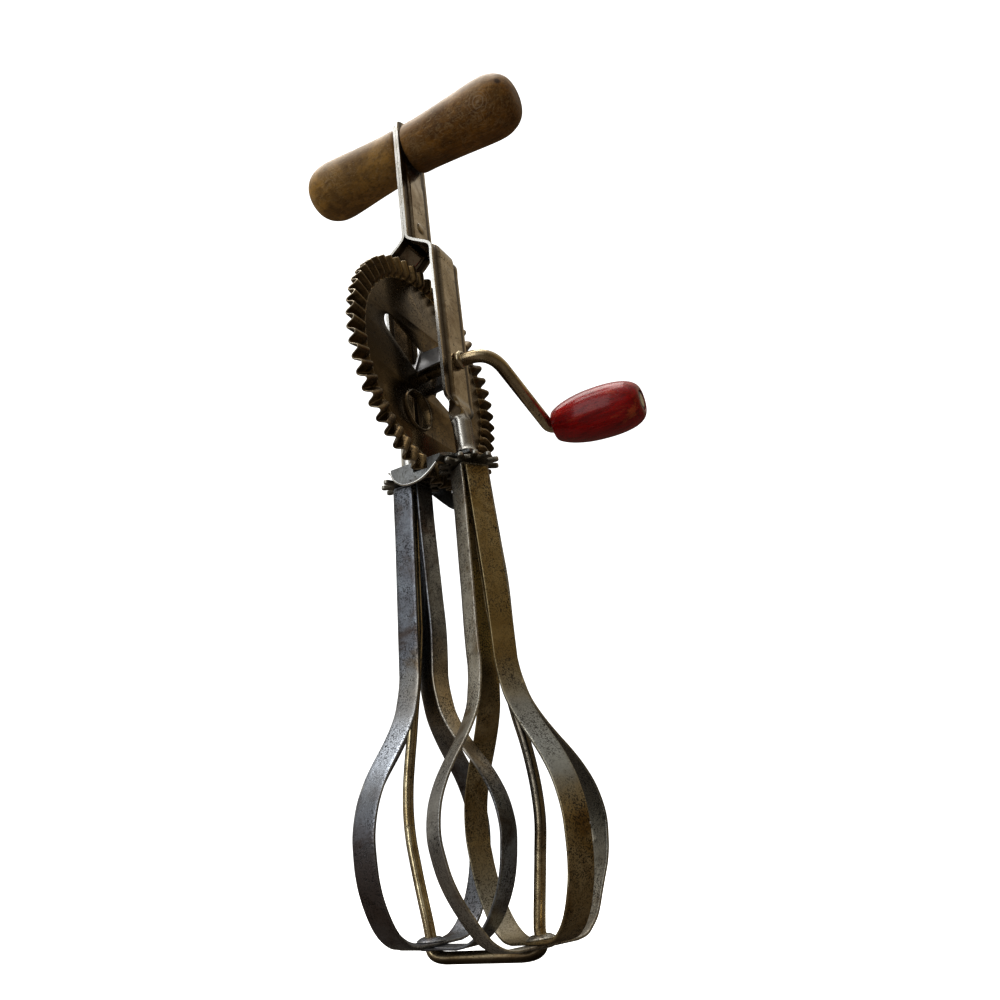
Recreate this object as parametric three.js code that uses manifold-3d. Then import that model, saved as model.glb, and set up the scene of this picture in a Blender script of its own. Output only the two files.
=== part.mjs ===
// A rotary egg beater: one big drive wheel turns two dashers through star pinions.
// X runs along the wheel's axle towards the crank, Z runs up, and the dashers stand side by side along X.
// All lengths are millimetres.
import * as THREE from "three";
import { mergeVertices } from "three/addons/utils/BufferGeometryUtils.js";
import Module from "manifold-3d";

const wasm = await Module();
wasm.setup();

// Driving dimensions
const HANDLE_FRONT_LENGTH = 46.4;
const HANDLE_REAR_LENGTH = 44.2;
const HANDLE_RADIUS = 10.9;
const HANDLE_GAP = 0.9;
const HANDLE_ROD_RADIUS = 1.8;
const HANDLE_ROD_DEPTH = 22;
const TANG_LIP = 0.3;
const NECK_LENGTH = 44.5;
const RIVET_LIFT = 7;
const RIVET_RADIUS = 1.3;
const RIVET_HEAD = 0.7;
const RIVET_HEAD_RADIUS = 2.2;

const WHEEL_RADIUS = 40.6;
const WHEEL_TEETH = 52;
const WHEEL_SHEET = 0.6;
const WHEEL_WAVE = 1.6;
const WHEEL_BAND_INNER = 33.6;
const DISC_SETBACK = 0.9;
const TOOTH_MESH = 2.6;
const WINDOW_ANGLE = 155;
const WINDOW_INNER = 5.2;
const WINDOW_OUTER = 25.2;
const WINDOW_FOOT_HALF_WIDTH = 5.5;
const WINDOW_TIP_HALF_WIDTH = 3.7;
const HOLE_OFFSET = 19.2;
const HOLE_RADIUS = 6.4;
const LIP_HEIGHT = 1.4;

const PINION_TEETH = 12;
const TOOTH_STANDOFF = 0.95;
const PINION_ROOT_RADIUS = 6.6;
const PINION_SHEET = 1;
const PINION_TOOTH_WIDTH = 1.7;

const DASHER_TOP_OFFSET = 10.7;
const DASHER_FOOT_OFFSET = 16.4;
const DASHER_FOOT_HEIGHT = 6;
const BULB_HEIGHT = 70;
const SHANK_LENGTH = 61.2;
const SHANK_GAP = 0.8;
const LOOP_WIDTH = 7.4;
const LOOP_SHEET = 0.8;
const LOOP_REACH = 9;
const LOOP_FOLD = 0.9;
const EYELET_SHEET = 0.6;
const EYELET_FLANGE = 3.3;
const LEFT_LOOP_ANGLE = -4;
const RIGHT_LOOP_ANGLE = 59;

const STRAP_HALF_WIDTH = 8.2;
const STRAP_SHEET = 1;
const STRAP_OFFSET = 9.7;
const STRAP_RIB = 0.9;
const WHEEL_HEADROOM = 0.7;
const JOG_RISE = 11;
const ROLL_LENGTH = 11.5;
const TUBE_LENGTH = 12.9;
const TUBE_RADIUS = 2.6;
const TUBE_SEAM = 0.4;

const WIRE_RADIUS = 1.55;
const WIRE_BOW = 5.6;
const WIRE_BEND = 3.3;
const WIRE_GRIP = 10.4;
const BORE_CLEARANCE = 0.35;
const SEAT_GAP = 0.1;

const CRANK_RADIUS = 2.15;
const CRANK_THROW = 37.7;
const CRANK_ANGLE = -25.7;
const CRANK_ELBOW_REACH = 8.7;
const CRANK_FLARE = 2.2;
const CRANK_BEND = 8.5;
const KNOB_LENGTH = 31.4;
const KNOB_RADIUS = 8.8;
const KNOB_LEAN = 3.5;
const KNOB_SETBACK = 3.5;
const KNOB_PLAY = 0.25;
const HUB_PLAY = 0.4;
const BACK_HUB_RADIUS = 4.6;
const COLLAR_RADIUS = 3.1;
const COLLAR_LENGTH = 1.8;
const WASHER_WIDTH = 0.85;

const YOKE_SHEET = 0.9;
const YOKE_ROOM = 1.25;
const YOKE_LIFT = 4.3;
const YOKE_ARCH = 2.6;
const YOKE_NEAR_DROP = 9;
const YOKE_FAR_DROP = 12.7;
const YOKE_REAR_LAP = 1.9;
const YOKE_SKIRT_LAP = 3.3;
const YOKE_FRONT_LAP = 2.7;
const YOKE_SLOT = 2.6;
const YOKE_CLEARANCE = 0.6;

// Shares of the sizes above, and how finely curves are cut
const ribShare = 0.4;
const ribFlankShare = 0.16;
const rimShares = [[0, 0], [0.22, 1], [1, 1]];
const STRAP_STEPS = 12;
const WAVE_STEPS = 6;
const LOOP_STEPS = 30;
const YOKE_STEPS = 6;
const QUARTER_TURN = 90;
const MERGE_TOLERANCE = 1e-4;

// Sizes that follow from those above, from the foot up
const SHANK_RADIUS = LOOP_WIDTH / 2 + SHANK_GAP;
const LOOP_RADIUS = DASHER_FOOT_OFFSET + LOOP_REACH;
const SHANK_FOOT_HEIGHT = DASHER_FOOT_HEIGHT + BULB_HEIGHT;
const PINION_HEIGHT = SHANK_FOOT_HEIGHT + SHANK_LENGTH;
const PINION_RADIUS = DASHER_TOP_OFFSET - TOOTH_STANDOFF;
const YOKE_HALF_DEPTH = PINION_RADIUS + YOKE_ROOM;
const YOKE_HEIGHT = PINION_HEIGHT + YOKE_LIFT;
const YOKE_REAR_REACH = DASHER_TOP_OFFSET + YOKE_REAR_LAP;
const YOKE_SKIRT_REACH = DASHER_TOP_OFFSET - YOKE_SKIRT_LAP;
const YOKE_FRONT_REACH = DASHER_TOP_OFFSET + YOKE_FRONT_LAP;
const TUBE_FOOT_HEIGHT = YOKE_HEIGHT + SEAT_GAP;
const ROLL_FOOT = TUBE_FOOT_HEIGHT + TUBE_LENGTH;
const ROLL_TOP = ROLL_FOOT + ROLL_LENGTH;
const WIRE_TOP_HEIGHT = TUBE_FOOT_HEIGHT + WIRE_GRIP;
const WHEEL_HEIGHT = PINION_HEIGHT + WHEEL_RADIUS - TOOTH_MESH;
const JOG_FOOT = WHEEL_HEIGHT + WHEEL_RADIUS + WHEEL_HEADROOM;
const JOG_TOP = JOG_FOOT + JOG_RISE;
const RIVET_HEIGHT = JOG_TOP + RIVET_LIFT;
const HANDLE_HEIGHT = JOG_TOP + NECK_LENGTH;
const TANG_RADIUS = HANDLE_RADIUS + TANG_LIP;

// Paints
const paints = {
  steel: paint(0xa9a59b, 0.34, 0.9),
  wheelSteel: paint(0x6f6247, 0.46, 0.75),
  hubSteel: paint(0x25211c, 0.55, 0.6),
  dasherSteel: paint(0x8d8a84, 0.45, 0.85),
  wireSteel: paint(0x7d7257, 0.4, 0.85),
  crankSteel: paint(0xb08d5c, 0.3, 0.9),
  handleWood: paint(0x7c6552, 0.6, 0),
  knobWood: paint(0xa32a1c, 0.42, 0),
};

function paint(color, roughness, metalness) {
  return new THREE.MeshStandardMaterial({ color, roughness, metalness });
}

const root = new THREE.Group();
const radians = THREE.MathUtils.degToRad;

// Turns a geometry into a solid that joins and cuts, with its faces outward.
function solidOf(geometry) {
  geometry.deleteAttribute("normal");
  geometry.deleteAttribute("uv");
  const merged = mergeVertices(geometry, MERGE_TOLERANCE);
  const vertProperties = new Float32Array(merged.attributes.position.array);
  const triVerts = new Uint32Array(merged.index.array);
  const made = new wasm.Manifold(new wasm.Mesh({ numProp: 3, vertProperties, triVerts }));
  if (made.volume() > 0) return made;
  for (let i = 0; i < triVerts.length; i += 3) {
    [triVerts[i + 1], triVerts[i + 2]] = [triVerts[i + 2], triVerts[i + 1]];
  }
  return new wasm.Manifold(new wasm.Mesh({ numProp: 3, vertProperties, triVerts }));
}

// Turns a solid back into a geometry.
function geometryOf(solid) {
  const mesh = solid.getMesh();
  const geometry = new THREE.BufferGeometry();
  geometry.setAttribute("position", new THREE.BufferAttribute(mesh.vertProperties, 3));
  geometry.setIndex(new THREE.BufferAttribute(mesh.triVerts, 1));
  geometry.computeVertexNormals();
  return geometry;
}

// Adds one named mesh made from a solid.
function addNode(name, solid, material) {
  const geometry = geometryOf(solid);
  const node = new THREE.Mesh(geometry, material);
  node.name = name;
  root.add(node);
}

// Skins a row of equal rings of points; an open row gets flat ends.
function loft(rings, closed) {
  const sides = rings[0].length;
  const index = [];
  const spans = closed ? rings.length : rings.length - 1;
  for (let i = 0; i < spans; i += 1) {
    const a = i * sides;
    const b = ((i + 1) % rings.length) * sides;
    for (let j = 0; j < sides; j += 1) {
      const k = (j + 1) % sides;
      index.push(a + j, b + j, b + k, a + j, b + k, a + k);
    }
  }
  if (!closed) {
    const last = (rings.length - 1) * sides;
    for (let j = 0; j < sides / 2 - 1; j += 1) {
      const k = sides - 1 - j;
      index.push(j, j + 1, k - 1, j, k - 1, k);
      index.push(last + j, last + k - 1, last + j + 1, last + j, last + k, last + k - 1);
    }
  }
  const geometry = new THREE.BufferGeometry().setFromPoints(rings.flat());
  geometry.setIndex(index);
  return geometry;
}

// A solid turned about the Z axis from a closed outline of radius and height pairs.
function turned(outline, segments = 32) {
  const points = outline.map(([radius, height]) => new THREE.Vector2(radius, height));
  return new THREE.LatheGeometry(points, segments).rotateX(Math.PI / 2);
}

// A round bar along Z between two heights.
function bar(radius, low, high, segments = 24) {
  const made = new THREE.CylinderGeometry(radius, radius, high - low, segments);
  return made.rotateX(Math.PI / 2).translate(0, 0, (low + high) / 2);
}

// A ring along Z with a bore.
function sleeve(inner, outer, low, high, segments = 28) {
  return turned(
    [[inner, low], [outer, low], [outer, high], [inner, high], [inner, low]],
    segments,
  );
}

// Lays something made along Z down along X, at the height of the axle.
function onAxle(geometry) {
  return geometry.rotateY(Math.PI / 2).translate(0, 0, WHEEL_HEIGHT);
}

// A flat plate along Z, cut from an outline.
function plate(shape, low, thickness, curveSegments = 8) {
  const options = { depth: thickness, bevelEnabled: false, curveSegments };
  return new THREE.ExtrudeGeometry(shape, options).translate(0, 0, low);
}

// Corner points rounded by arcs that start a given length before each corner.
function roundedPath(corners, setback, steps = 6) {
  const path = [corners[0]];
  for (let i = 1; i < corners.length - 1; i += 1) {
    const before = corners[i - 1].clone().sub(corners[i]);
    const after = corners[i + 1].clone().sub(corners[i]);
    const from = corners[i].clone().addScaledVector(before.normalize(), setback[i - 1]);
    const to = corners[i].clone().addScaledVector(after.normalize(), setback[i - 1]);
    const curve = new THREE.QuadraticBezierCurve3(from, corners[i], to);
    path.push(...curve.getPoints(steps));
  }
  path.push(corners[corners.length - 1]);
  return path;
}

// A round wire along a path of points, its rings carried along without twisting.
function wire(path, radius, sides = 12) {
  const rings = [];
  let across = new THREE.Vector3(0, 1, 0);
  path.forEach((point, i) => {
    const ahead = path[Math.min(i + 1, path.length - 1)];
    const behind = path[Math.max(i - 1, 0)];
    const along = ahead.clone().sub(behind).normalize();
    const side = across.clone().addScaledVector(along, -across.dot(along)).normalize();
    const other = along.clone().cross(side);
    across = side;
    const ring = [];
    for (let j = 0; j < sides; j += 1) {
      const turn = ((j + 1 / 2) / sides) * 2 * Math.PI;
      const around = side.clone().multiplyScalar(Math.cos(turn) * radius);
      ring.push(around.addScaledVector(other, Math.sin(turn) * radius).add(point));
    }
    rings.push(ring);
  });
  return loft(rings, false);
}

// The dasher axes lean outward towards the foot; side is -1 for the left and 1 for the right.
const AXIS_DROP = PINION_HEIGHT - DASHER_FOOT_HEIGHT;
const AXIS_SPREAD = DASHER_FOOT_OFFSET - DASHER_TOP_OFFSET;
const AXIS_LEAN = Math.atan2(AXIS_SPREAD, AXIS_DROP);
const AXIS_LENGTH = Math.hypot(AXIS_SPREAD, AXIS_DROP);

// Places something made about Z, with its zero at the pinion, on a dasher's axis.
function onDasher(geometry, side) {
  return geometry.rotateY(-side * AXIS_LEAN).translate(side * DASHER_TOP_OFFSET, 0, PINION_HEIGHT);
}

function dasherAxisAt(side, height) {
  const spread = (AXIS_SPREAD * (PINION_HEIGHT - height)) / AXIS_DROP;
  return new THREE.Vector3(side * (DASHER_TOP_OFFSET + spread), 0, height);
}

const WIRE_BORE = WIRE_RADIUS + BORE_CLEARANCE;

// Frame straps

const NECK_OFFSET = (STRAP_SHEET + SEAT_GAP) / 2;
const STRAP_TOP = HANDLE_HEIGHT + TANG_RADIUS;
const AXLE_BORE = CRANK_RADIUS + BORE_CLEARANCE;

// One station of a strap: its line, how far it is rolled up and how far its rib is raised.
function strapStation(height) {
  const jog = THREE.MathUtils.smoothstep(-height, -JOG_TOP, -JOG_FOOT);
  const roll = THREE.MathUtils.smoothstep(-height, -ROLL_TOP, -ROLL_FOOT);
  const tubeLine = dasherAxisAt(1, height).x + TUBE_RADIUS;
  const flatLine = THREE.MathUtils.lerp(NECK_OFFSET, STRAP_OFFSET, jog);
  const tangFoot = HANDLE_HEIGHT - HANDLE_RADIUS;
  const tang = THREE.MathUtils.smoothstep(height, tangFoot - STRAP_HALF_WIDTH, tangFoot);
  const rib = STRAP_RIB * (1 - roll) * (1 - tang);
  return { height, roll, rib, line: THREE.MathUtils.lerp(flatLine, tubeLine, roll) };
}

// The cross-section at a station: a flat sheet with a raised rib that rolls up into a tube.
function strapRing(station, lean, side) {
  const outer = [];
  const inner = [];
  const rolled = Math.PI * TUBE_RADIUS - TUBE_SEAM;
  const half = THREE.MathUtils.lerp(STRAP_HALF_WIDTH, rolled, station.roll);
  for (let i = 0; i <= STRAP_STEPS; i += 1) {
    const share = (i / STRAP_STEPS) * 2 - 1;
    const turn = (share * half * station.roll) / TUBE_RADIUS;
    const chord = turn === 0 ? 1 : Math.sin(turn) / turn;
    const sag = turn === 0 ? 0 : (1 - Math.cos(turn)) / turn;
    const edge = ribShare + ribFlankShare;
    const flank = THREE.MathUtils.smoothstep(edge - Math.abs(share), 0, ribFlankShare);
    const rise = flank * station.rib - share * half * sag;
    [outer, inner].forEach((list, face) => {
      const skin = ((face ? -1 : 1) * STRAP_SHEET) / 2;
      const outward = rise + skin * Math.cos(turn);
      const x = station.line + outward * Math.cos(lean);
      const y = share * half * chord + skin * Math.sin(turn);
      const z = station.height + outward * Math.sin(lean);
      list.push(new THREE.Vector3(side * x, y, z));
    });
  }
  return [...outer, ...inner.reverse()];
}

// Heights from one level to another in equal steps, without the first.
function steps(from, to, count) {
  return Array.from({ length: count }, (_, i) => THREE.MathUtils.lerp(from, to, (i + 1) / count));
}

function strap(side) {
  const tangFoot = HANDLE_HEIGHT - HANDLE_RADIUS;
  const heights = [STRAP_TOP, tangFoot, ...steps(tangFoot, tangFoot - STRAP_HALF_WIDTH, 3)];
  heights.push(JOG_TOP, ...steps(JOG_TOP, JOG_FOOT, 9));
  heights.push(ROLL_TOP, ...steps(ROLL_TOP, ROLL_FOOT, 9), TUBE_FOOT_HEIGHT);
  const stations = heights.map(strapStation);
  const rings = stations.map((station, i) => {
    const ahead = stations[Math.min(i + 1, stations.length - 1)];
    const behind = stations[Math.max(i - 1, 0)];
    const lean = Math.atan2(ahead.line - behind.line, behind.height - ahead.height);
    return strapRing(station, i === 0 || i === stations.length - 1 ? 0 : lean, side);
  });
  const reach = STRAP_OFFSET * 2;
  const round = bar(TANG_RADIUS, -reach, reach, 48);
  round.rotateY(Math.PI / 2).translate(0, 0, HANDLE_HEIGHT);
  const below = new THREE.BoxGeometry(reach * 2, reach * 2, HANDLE_HEIGHT);
  below.translate(0, 0, HANDLE_HEIGHT / 2);
  const axleHole = onAxle(bar(AXLE_BORE, -reach, reach));
  const rodHole = bar(HANDLE_ROD_RADIUS + BORE_CLEARANCE, -reach, reach);
  rodHole.rotateY(Math.PI / 2).translate(0, 0, HANDLE_HEIGHT);
  const rivetHole = bar(RIVET_RADIUS + SEAT_GAP, -STRAP_OFFSET / 2, STRAP_OFFSET / 2);
  rivetHole.rotateY(Math.PI / 2).translate(0, 0, RIVET_HEIGHT);
  return solidOf(loft(rings, false))
    .intersect(solidOf(round).add(solidOf(below)))
    .subtract(solidOf(axleHole))
    .subtract(solidOf(rodHole))
    .subtract(solidOf(rivetHole));
}

addNode("front_strap", strap(1), paints.steel);
addNode("rear_strap", strap(-1), paints.steel);

// Neck rivet: a shank with a low head on the rib of each strap

const ribFace = NECK_OFFSET + STRAP_SHEET / 2 + STRAP_RIB + SEAT_GAP;
const rivet = turned([
  [0, -ribFace - RIVET_HEAD],
  [RIVET_RADIUS, -ribFace - RIVET_HEAD],
  [RIVET_HEAD_RADIUS, -ribFace - RIVET_HEAD / 2],
  [RIVET_HEAD_RADIUS, -ribFace],
  [RIVET_RADIUS, -ribFace],
  [RIVET_RADIUS, ribFace],
  [RIVET_HEAD_RADIUS, ribFace],
  [RIVET_HEAD_RADIUS, ribFace + RIVET_HEAD / 2],
  [RIVET_RADIUS, ribFace + RIVET_HEAD],
  [0, ribFace + RIVET_HEAD],
], 16);
rivet.rotateY(Math.PI / 2).translate(0, 0, RIVET_HEIGHT);
addNode("neck_rivet", solidOf(rivet), paints.steel);

// Handle: two turned halves on a hidden rod that passes through both straps

// Along the half from the straps out, and the radius there.
const handleShares = [
  [0, 0.78], [0.02, 0.83], [0.14, 0.85], [0.3, 0.885], [0.45, 0.925], [0.6, 0.97],
  [0.74, 1], [0.82, 0.98], [0.88, 0.91], [0.93, 0.8], [0.97, 0.63], [1, 0.33],
];

function handleHalf(side, gap, length) {
  const inner = NECK_OFFSET + STRAP_SHEET / 2 + gap;
  const bore = HANDLE_ROD_RADIUS + BORE_CLEARANCE;
  const depth = inner + HANDLE_ROD_DEPTH + BORE_CLEARANCE;
  const outline = handleShares.map(([along, radius]) => [
    radius * HANDLE_RADIUS,
    THREE.MathUtils.lerp(inner, length, along),
  ]);
  const made = turned([[0, depth], [bore, depth], [bore, inner], ...outline, [0, length]], 32);
  return solidOf(made.rotateY((side * Math.PI) / 2).translate(0, 0, HANDLE_HEIGHT));
}

addNode("front_handle", handleHalf(1, HANDLE_GAP, HANDLE_FRONT_LENGTH), paints.handleWood);
addNode("rear_handle", handleHalf(-1, SEAT_GAP, HANDLE_REAR_LENGTH), paints.handleWood);

const rodReach = NECK_OFFSET + STRAP_SHEET / 2 + HANDLE_ROD_DEPTH;
const rod = bar(HANDLE_ROD_RADIUS, -rodReach, rodReach, 16);
addNode("handle_rod", solidOf(rod.rotateY(Math.PI / 2).translate(0, 0, HANDLE_HEIGHT)), paints.steel);

// Drive wheel: a flat disc with two windows and two lipped holes, and a waved rim that works as the teeth

// Lays something drawn in X and Y flat on the wheel's disc, facing the crank.
function onWheel(geometry) {
  const basis = new THREE.Matrix4().makeBasis(
    new THREE.Vector3(0, 1, 0),
    new THREE.Vector3(0, 0, 1),
    new THREE.Vector3(1, 0, 0),
  );
  return geometry.applyMatrix4(basis).translate(-DISC_SETBACK, 0, WHEEL_HEIGHT);
}

// The waved rim, whose wave leaves the disc for the middle between the pinions.
// At the foot of the wheel, where the front pinion enters, the wave is lowest.
function wheelRim() {
  const rings = [];
  const count = WHEEL_TEETH * WAVE_STEPS;
  for (let i = 0; i < count; i += 1) {
    const angle = (i / count) * 2 * Math.PI;
    const phase = (angle + Math.PI / 2) * WHEEL_TEETH;
    const front = [];
    const back = [];
    rimShares.forEach(([along, share]) => {
      const radius = THREE.MathUtils.lerp(WHEEL_BAND_INNER, WHEEL_RADIUS, along);
      const depth = WHEEL_WAVE * share;
      const lean = Math.atan((Math.sin(phase) * depth * WHEEL_TEETH) / radius);
      [front, back].forEach((list, face) => {
        const skin = ((face ? -1 : 1) * WHEEL_SHEET) / 2;
        const turn = angle - (skin * Math.sin(lean)) / radius;
        const out = skin * Math.cos(lean) - depth * Math.cos(phase) + DISC_SETBACK * share;
        list.push(new THREE.Vector3(radius * Math.cos(turn), radius * Math.sin(turn), out));
      });
    });
    rings.push([...front, ...back.reverse()]);
  }
  return loft(rings, true);
}

// A window that narrows outward to a round end.
function windowShape() {
  const shape = new THREE.Shape();
  const [near, far] = [WINDOW_INNER, WINDOW_OUTER - WINDOW_TIP_HALF_WIDTH];
  shape.moveTo(near, -WINDOW_FOOT_HALF_WIDTH);
  shape.lineTo(far, -WINDOW_TIP_HALF_WIDTH);
  shape.absarc(far, 0, WINDOW_TIP_HALF_WIDTH, -Math.PI / 2, Math.PI / 2, false);
  shape.lineTo(near, WINDOW_FOOT_HALF_WIDTH);
  shape.closePath();
  return shape;
}

function wheel() {
  const disc = bar(WHEEL_BAND_INNER + WHEEL_SHEET, -WHEEL_SHEET / 2, WHEEL_SHEET / 2, WHEEL_TEETH);
  const hubHole = bar(CRANK_RADIUS + SEAT_GAP, -WHEEL_SHEET, WHEEL_SHEET);
  let solid = solidOf(disc).add(solidOf(wheelRim())).subtract(solidOf(hubHole));
  [0, 1].forEach((turn) => {
    const windowCut = plate(windowShape(), -WHEEL_SHEET, WHEEL_SHEET * 2);
    windowCut.rotateZ(radians(WINDOW_ANGLE) + turn * Math.PI);
    const lip = sleeve(HOLE_RADIUS, HOLE_RADIUS + WHEEL_SHEET, -WHEEL_SHEET / 2, LIP_HEIGHT);
    const hole = bar(HOLE_RADIUS, -WHEEL_SHEET, WHEEL_SHEET, 28);
    const holeAngle = radians(WINDOW_ANGLE + QUARTER_TURN) + turn * Math.PI;
    [lip, hole].forEach((made) => made.translate(HOLE_OFFSET, 0, 0).rotateZ(holeAngle));
    solid = solid.subtract(solidOf(windowCut)).subtract(solidOf(hole)).add(solidOf(lip));
  });
  return solidOf(onWheel(geometryOf(solid)));
}

addNode("drive_wheel", wheel(), paints.wheelSteel);

// Axle fittings: a bracket folded up at the windows and a spacer hold the wheel between the straps,
// a collar and a head hold the axle

const hubBore = CRANK_RADIUS + SEAT_GAP;
const strapInner = STRAP_OFFSET - STRAP_SHEET / 2 - HUB_PLAY;
const strapOuter = STRAP_OFFSET + STRAP_SHEET / 2 + STRAP_RIB + HUB_PLAY;
const hubSeat = WHEEL_SHEET / 2 + SEAT_GAP;

// A channel with its legs on the disc and its back across the axle.
function hubBracket() {
  const [leg, back] = [WINDOW_INNER, strapInner + DISC_SETBACK];
  const bend = WHEEL_SHEET * 2;
  const half = [
    [leg, hubSeat],
    [leg, back - bend],
    [leg - bend, back],
  ];
  const inside = [
    [leg - bend, back - WHEEL_SHEET],
    [leg - WHEEL_SHEET, back - bend],
    [leg - WHEEL_SHEET, hubSeat],
  ];
  const mirrored = (points) => points.map(([x, y]) => [-x, y]).reverse();
  const outline = [...half, ...mirrored(half), ...mirrored(inside), ...inside];
  const shape = new THREE.Shape(outline.map(([x, y]) => new THREE.Vector2(x, y)));
  const channel = plate(shape, -WINDOW_FOOT_HALF_WIDTH, WINDOW_FOOT_HALF_WIDTH * 2);
  channel.rotateX(Math.PI / 2).rotateZ(radians(WINDOW_ANGLE));
  return solidOf(onWheel(channel)).subtract(solidOf(onAxle(bar(hubBore, -strapInner, STRAP_OFFSET))));
}

addNode("hub_bracket", hubBracket(), paints.hubSteel);
const spacer = sleeve(hubBore, BACK_HUB_RADIUS, -strapInner, -DISC_SETBACK - hubSeat);
addNode("hub_back", solidOf(onAxle(spacer)), paints.hubSteel);

const collar = turned([
  [hubBore, strapOuter],
  [COLLAR_RADIUS, strapOuter],
  [COLLAR_RADIUS, strapOuter + COLLAR_LENGTH / 2],
  [COLLAR_RADIUS - COLLAR_LENGTH / 3, strapOuter + COLLAR_LENGTH],
  [hubBore, strapOuter + COLLAR_LENGTH],
  [hubBore, strapOuter],
]);
addNode("axle_collar", solidOf(onAxle(collar)), paints.crankSteel);
const axleEnd = -strapOuter - COLLAR_LENGTH;
addNode("axle_head", solidOf(onAxle(sleeve(hubBore, COLLAR_RADIUS, axleEnd, -strapOuter))), paints.steel);

// Crank: one bent wire that is the axle, the arm and the spindle of the knob

const crankTurn = radians(CRANK_ANGLE);
const throwDirection = new THREE.Vector3(0, Math.cos(crankTurn), Math.sin(crankTurn));
const spindleDirection = new THREE.Vector3(1, 0, 0)
  .multiplyScalar(Math.cos(radians(KNOB_LEAN)))
  .addScaledVector(throwDirection, Math.sin(radians(KNOB_LEAN)));
const crankElbow = new THREE.Vector3(CRANK_ELBOW_REACH - axleEnd, 0, WHEEL_HEIGHT);
const crankWrist = crankElbow.clone().addScaledVector(throwDirection, CRANK_THROW);
crankWrist.x += CRANK_FLARE;
const knobFoot = crankWrist.clone().addScaledVector(spindleDirection, KNOB_SETBACK);
const spindleEnd = KNOB_SETBACK + KNOB_LENGTH + RIVET_HEAD + SEAT_GAP * 2;
const crankPath = roundedPath(
  [
    new THREE.Vector3(axleEnd - RIVET_HEAD / 2, 0, WHEEL_HEIGHT),
    crankElbow,
    crankWrist,
    crankWrist.clone().addScaledVector(spindleDirection, spindleEnd),
  ],
  [CRANK_BEND, KNOB_SETBACK - SEAT_GAP],
  8,
);
addNode("crank_wire", solidOf(wire(crankPath, CRANK_RADIUS, 16)), paints.crankSteel);

// Lays something made along Z onto the knob's spindle, from the knob's inner end out.
function onSpindle(geometry) {
  const turn = new THREE.Quaternion().setFromUnitVectors(new THREE.Vector3(0, 0, 1), spindleDirection);
  return geometry.applyQuaternion(turn).translate(knobFoot.x, knobFoot.y, knobFoot.z);
}

// Along the knob from the crank out, and the radius there.
const knobShares = [
  [0, 0.52], [0.02, 0.6], [0.1, 0.74], [0.22, 0.87], [0.36, 0.96], [0.52, 1],
  [0.66, 0.985], [0.78, 0.92], [0.88, 0.79], [0.95, 0.6], [0.99, 0.42],
];
const knobBore = CRANK_RADIUS + KNOB_PLAY;
const knobOutline = knobShares.map(([along, radius]) => [radius * KNOB_RADIUS, along * KNOB_LENGTH]);
knobOutline.unshift([knobBore, 0]);
knobOutline.push([knobBore, KNOB_LENGTH], [knobBore, 0]);
addNode("knob", solidOf(onSpindle(turned(knobOutline, 36))), paints.knobWood);
const knobRivet = sleeve(hubBore, hubBore + WASHER_WIDTH, 0, RIVET_HEAD, 20);
knobRivet.translate(0, 0, KNOB_LENGTH + SEAT_GAP);
addNode("knob_rivet", solidOf(onSpindle(knobRivet)), paints.crankSteel);

// Dashers: a star pinion and two crossed strap loops riveted on each hollow axis

const EYELET_BARREL = WIRE_BORE + EYELET_SHEET;
const loopPitch = LOOP_SHEET + SEAT_GAP;

// How far down the loop from the foot of the shank, and its radius there.
const bulbShares = [
  [0, 0.18], [0.05, 0.2], [0.1, 0.235], [0.15, 0.28], [0.2, 0.355], [0.25, 0.45], [0.3, 0.56],
  [0.36, 0.7], [0.42, 0.82], [0.5, 0.935], [0.6, 1], [0.68, 0.99], [0.75, 0.96], [0.81, 0.91],
  [0.87, 0.83], [0.92, 0.74], [0.96, 0.63], [0.99, 0.49], [1, 0.36],
];

// Down one side of a loop, in its own plane, from the pinion to the foot.
function loopSide(layer) {
  const top = -PINION_SHEET / 2 - SEAT_GAP - LOOP_SHEET / 2 - layer * loopPitch;
  const foot = DASHER_FOOT_HEIGHT - PINION_HEIGHT + layer * loopPitch;
  const shankFoot = SHANK_FOOT_HEIGHT - PINION_HEIGHT;
  const fold = roundedPath(
    [
      new THREE.Vector3(0, 0, top),
      new THREE.Vector3(SHANK_RADIUS, 0, top),
      new THREE.Vector3(SHANK_RADIUS, 0, shankFoot),
    ],
    [LOOP_FOLD],
    3,
  );
  const bulb = bulbShares.map(([along, radius]) => new THREE.Vector3(
    Math.max(radius * LOOP_RADIUS, SHANK_RADIUS),
    0,
    THREE.MathUtils.lerp(shankFoot, foot, along),
  ));
  const curve = new THREE.CatmullRomCurve3(bulb, false, "centripetal");
  return [...fold.slice(0, -1), ...curve.getPoints(LOOP_STEPS), new THREE.Vector3(0, 0, foot)];
}

function loop(side, layer, angle) {
  const half = loopSide(layer);
  const back = half.slice(1, -1).reverse().map((point) => new THREE.Vector3(-point.x, 0, point.z));
  const path = [...half, ...back];
  const rings = path.map((point, i) => {
    const ahead = path[(i + 1) % path.length];
    const behind = path[(i + path.length - 1) % path.length];
    const along = ahead.clone().sub(behind).normalize();
    const normal = new THREE.Vector3(-along.z, 0, along.x).multiplyScalar(LOOP_SHEET / 2);
    const across = new THREE.Vector3(0, LOOP_WIDTH / 2, 0);
    return [
      point.clone().add(normal).sub(across),
      point.clone().add(normal).add(across),
      point.clone().sub(normal).add(across),
      point.clone().sub(normal).sub(across),
    ];
  });
  const made = loft(rings, true).rotateZ(radians(angle + layer * QUARTER_TURN));
  const bore = bar(EYELET_BARREL + SEAT_GAP, -AXIS_LENGTH * 2, PINION_SHEET);
  return solidOf(onDasher(made, side)).subtract(solidOf(onDasher(bore, side)));
}

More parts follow.
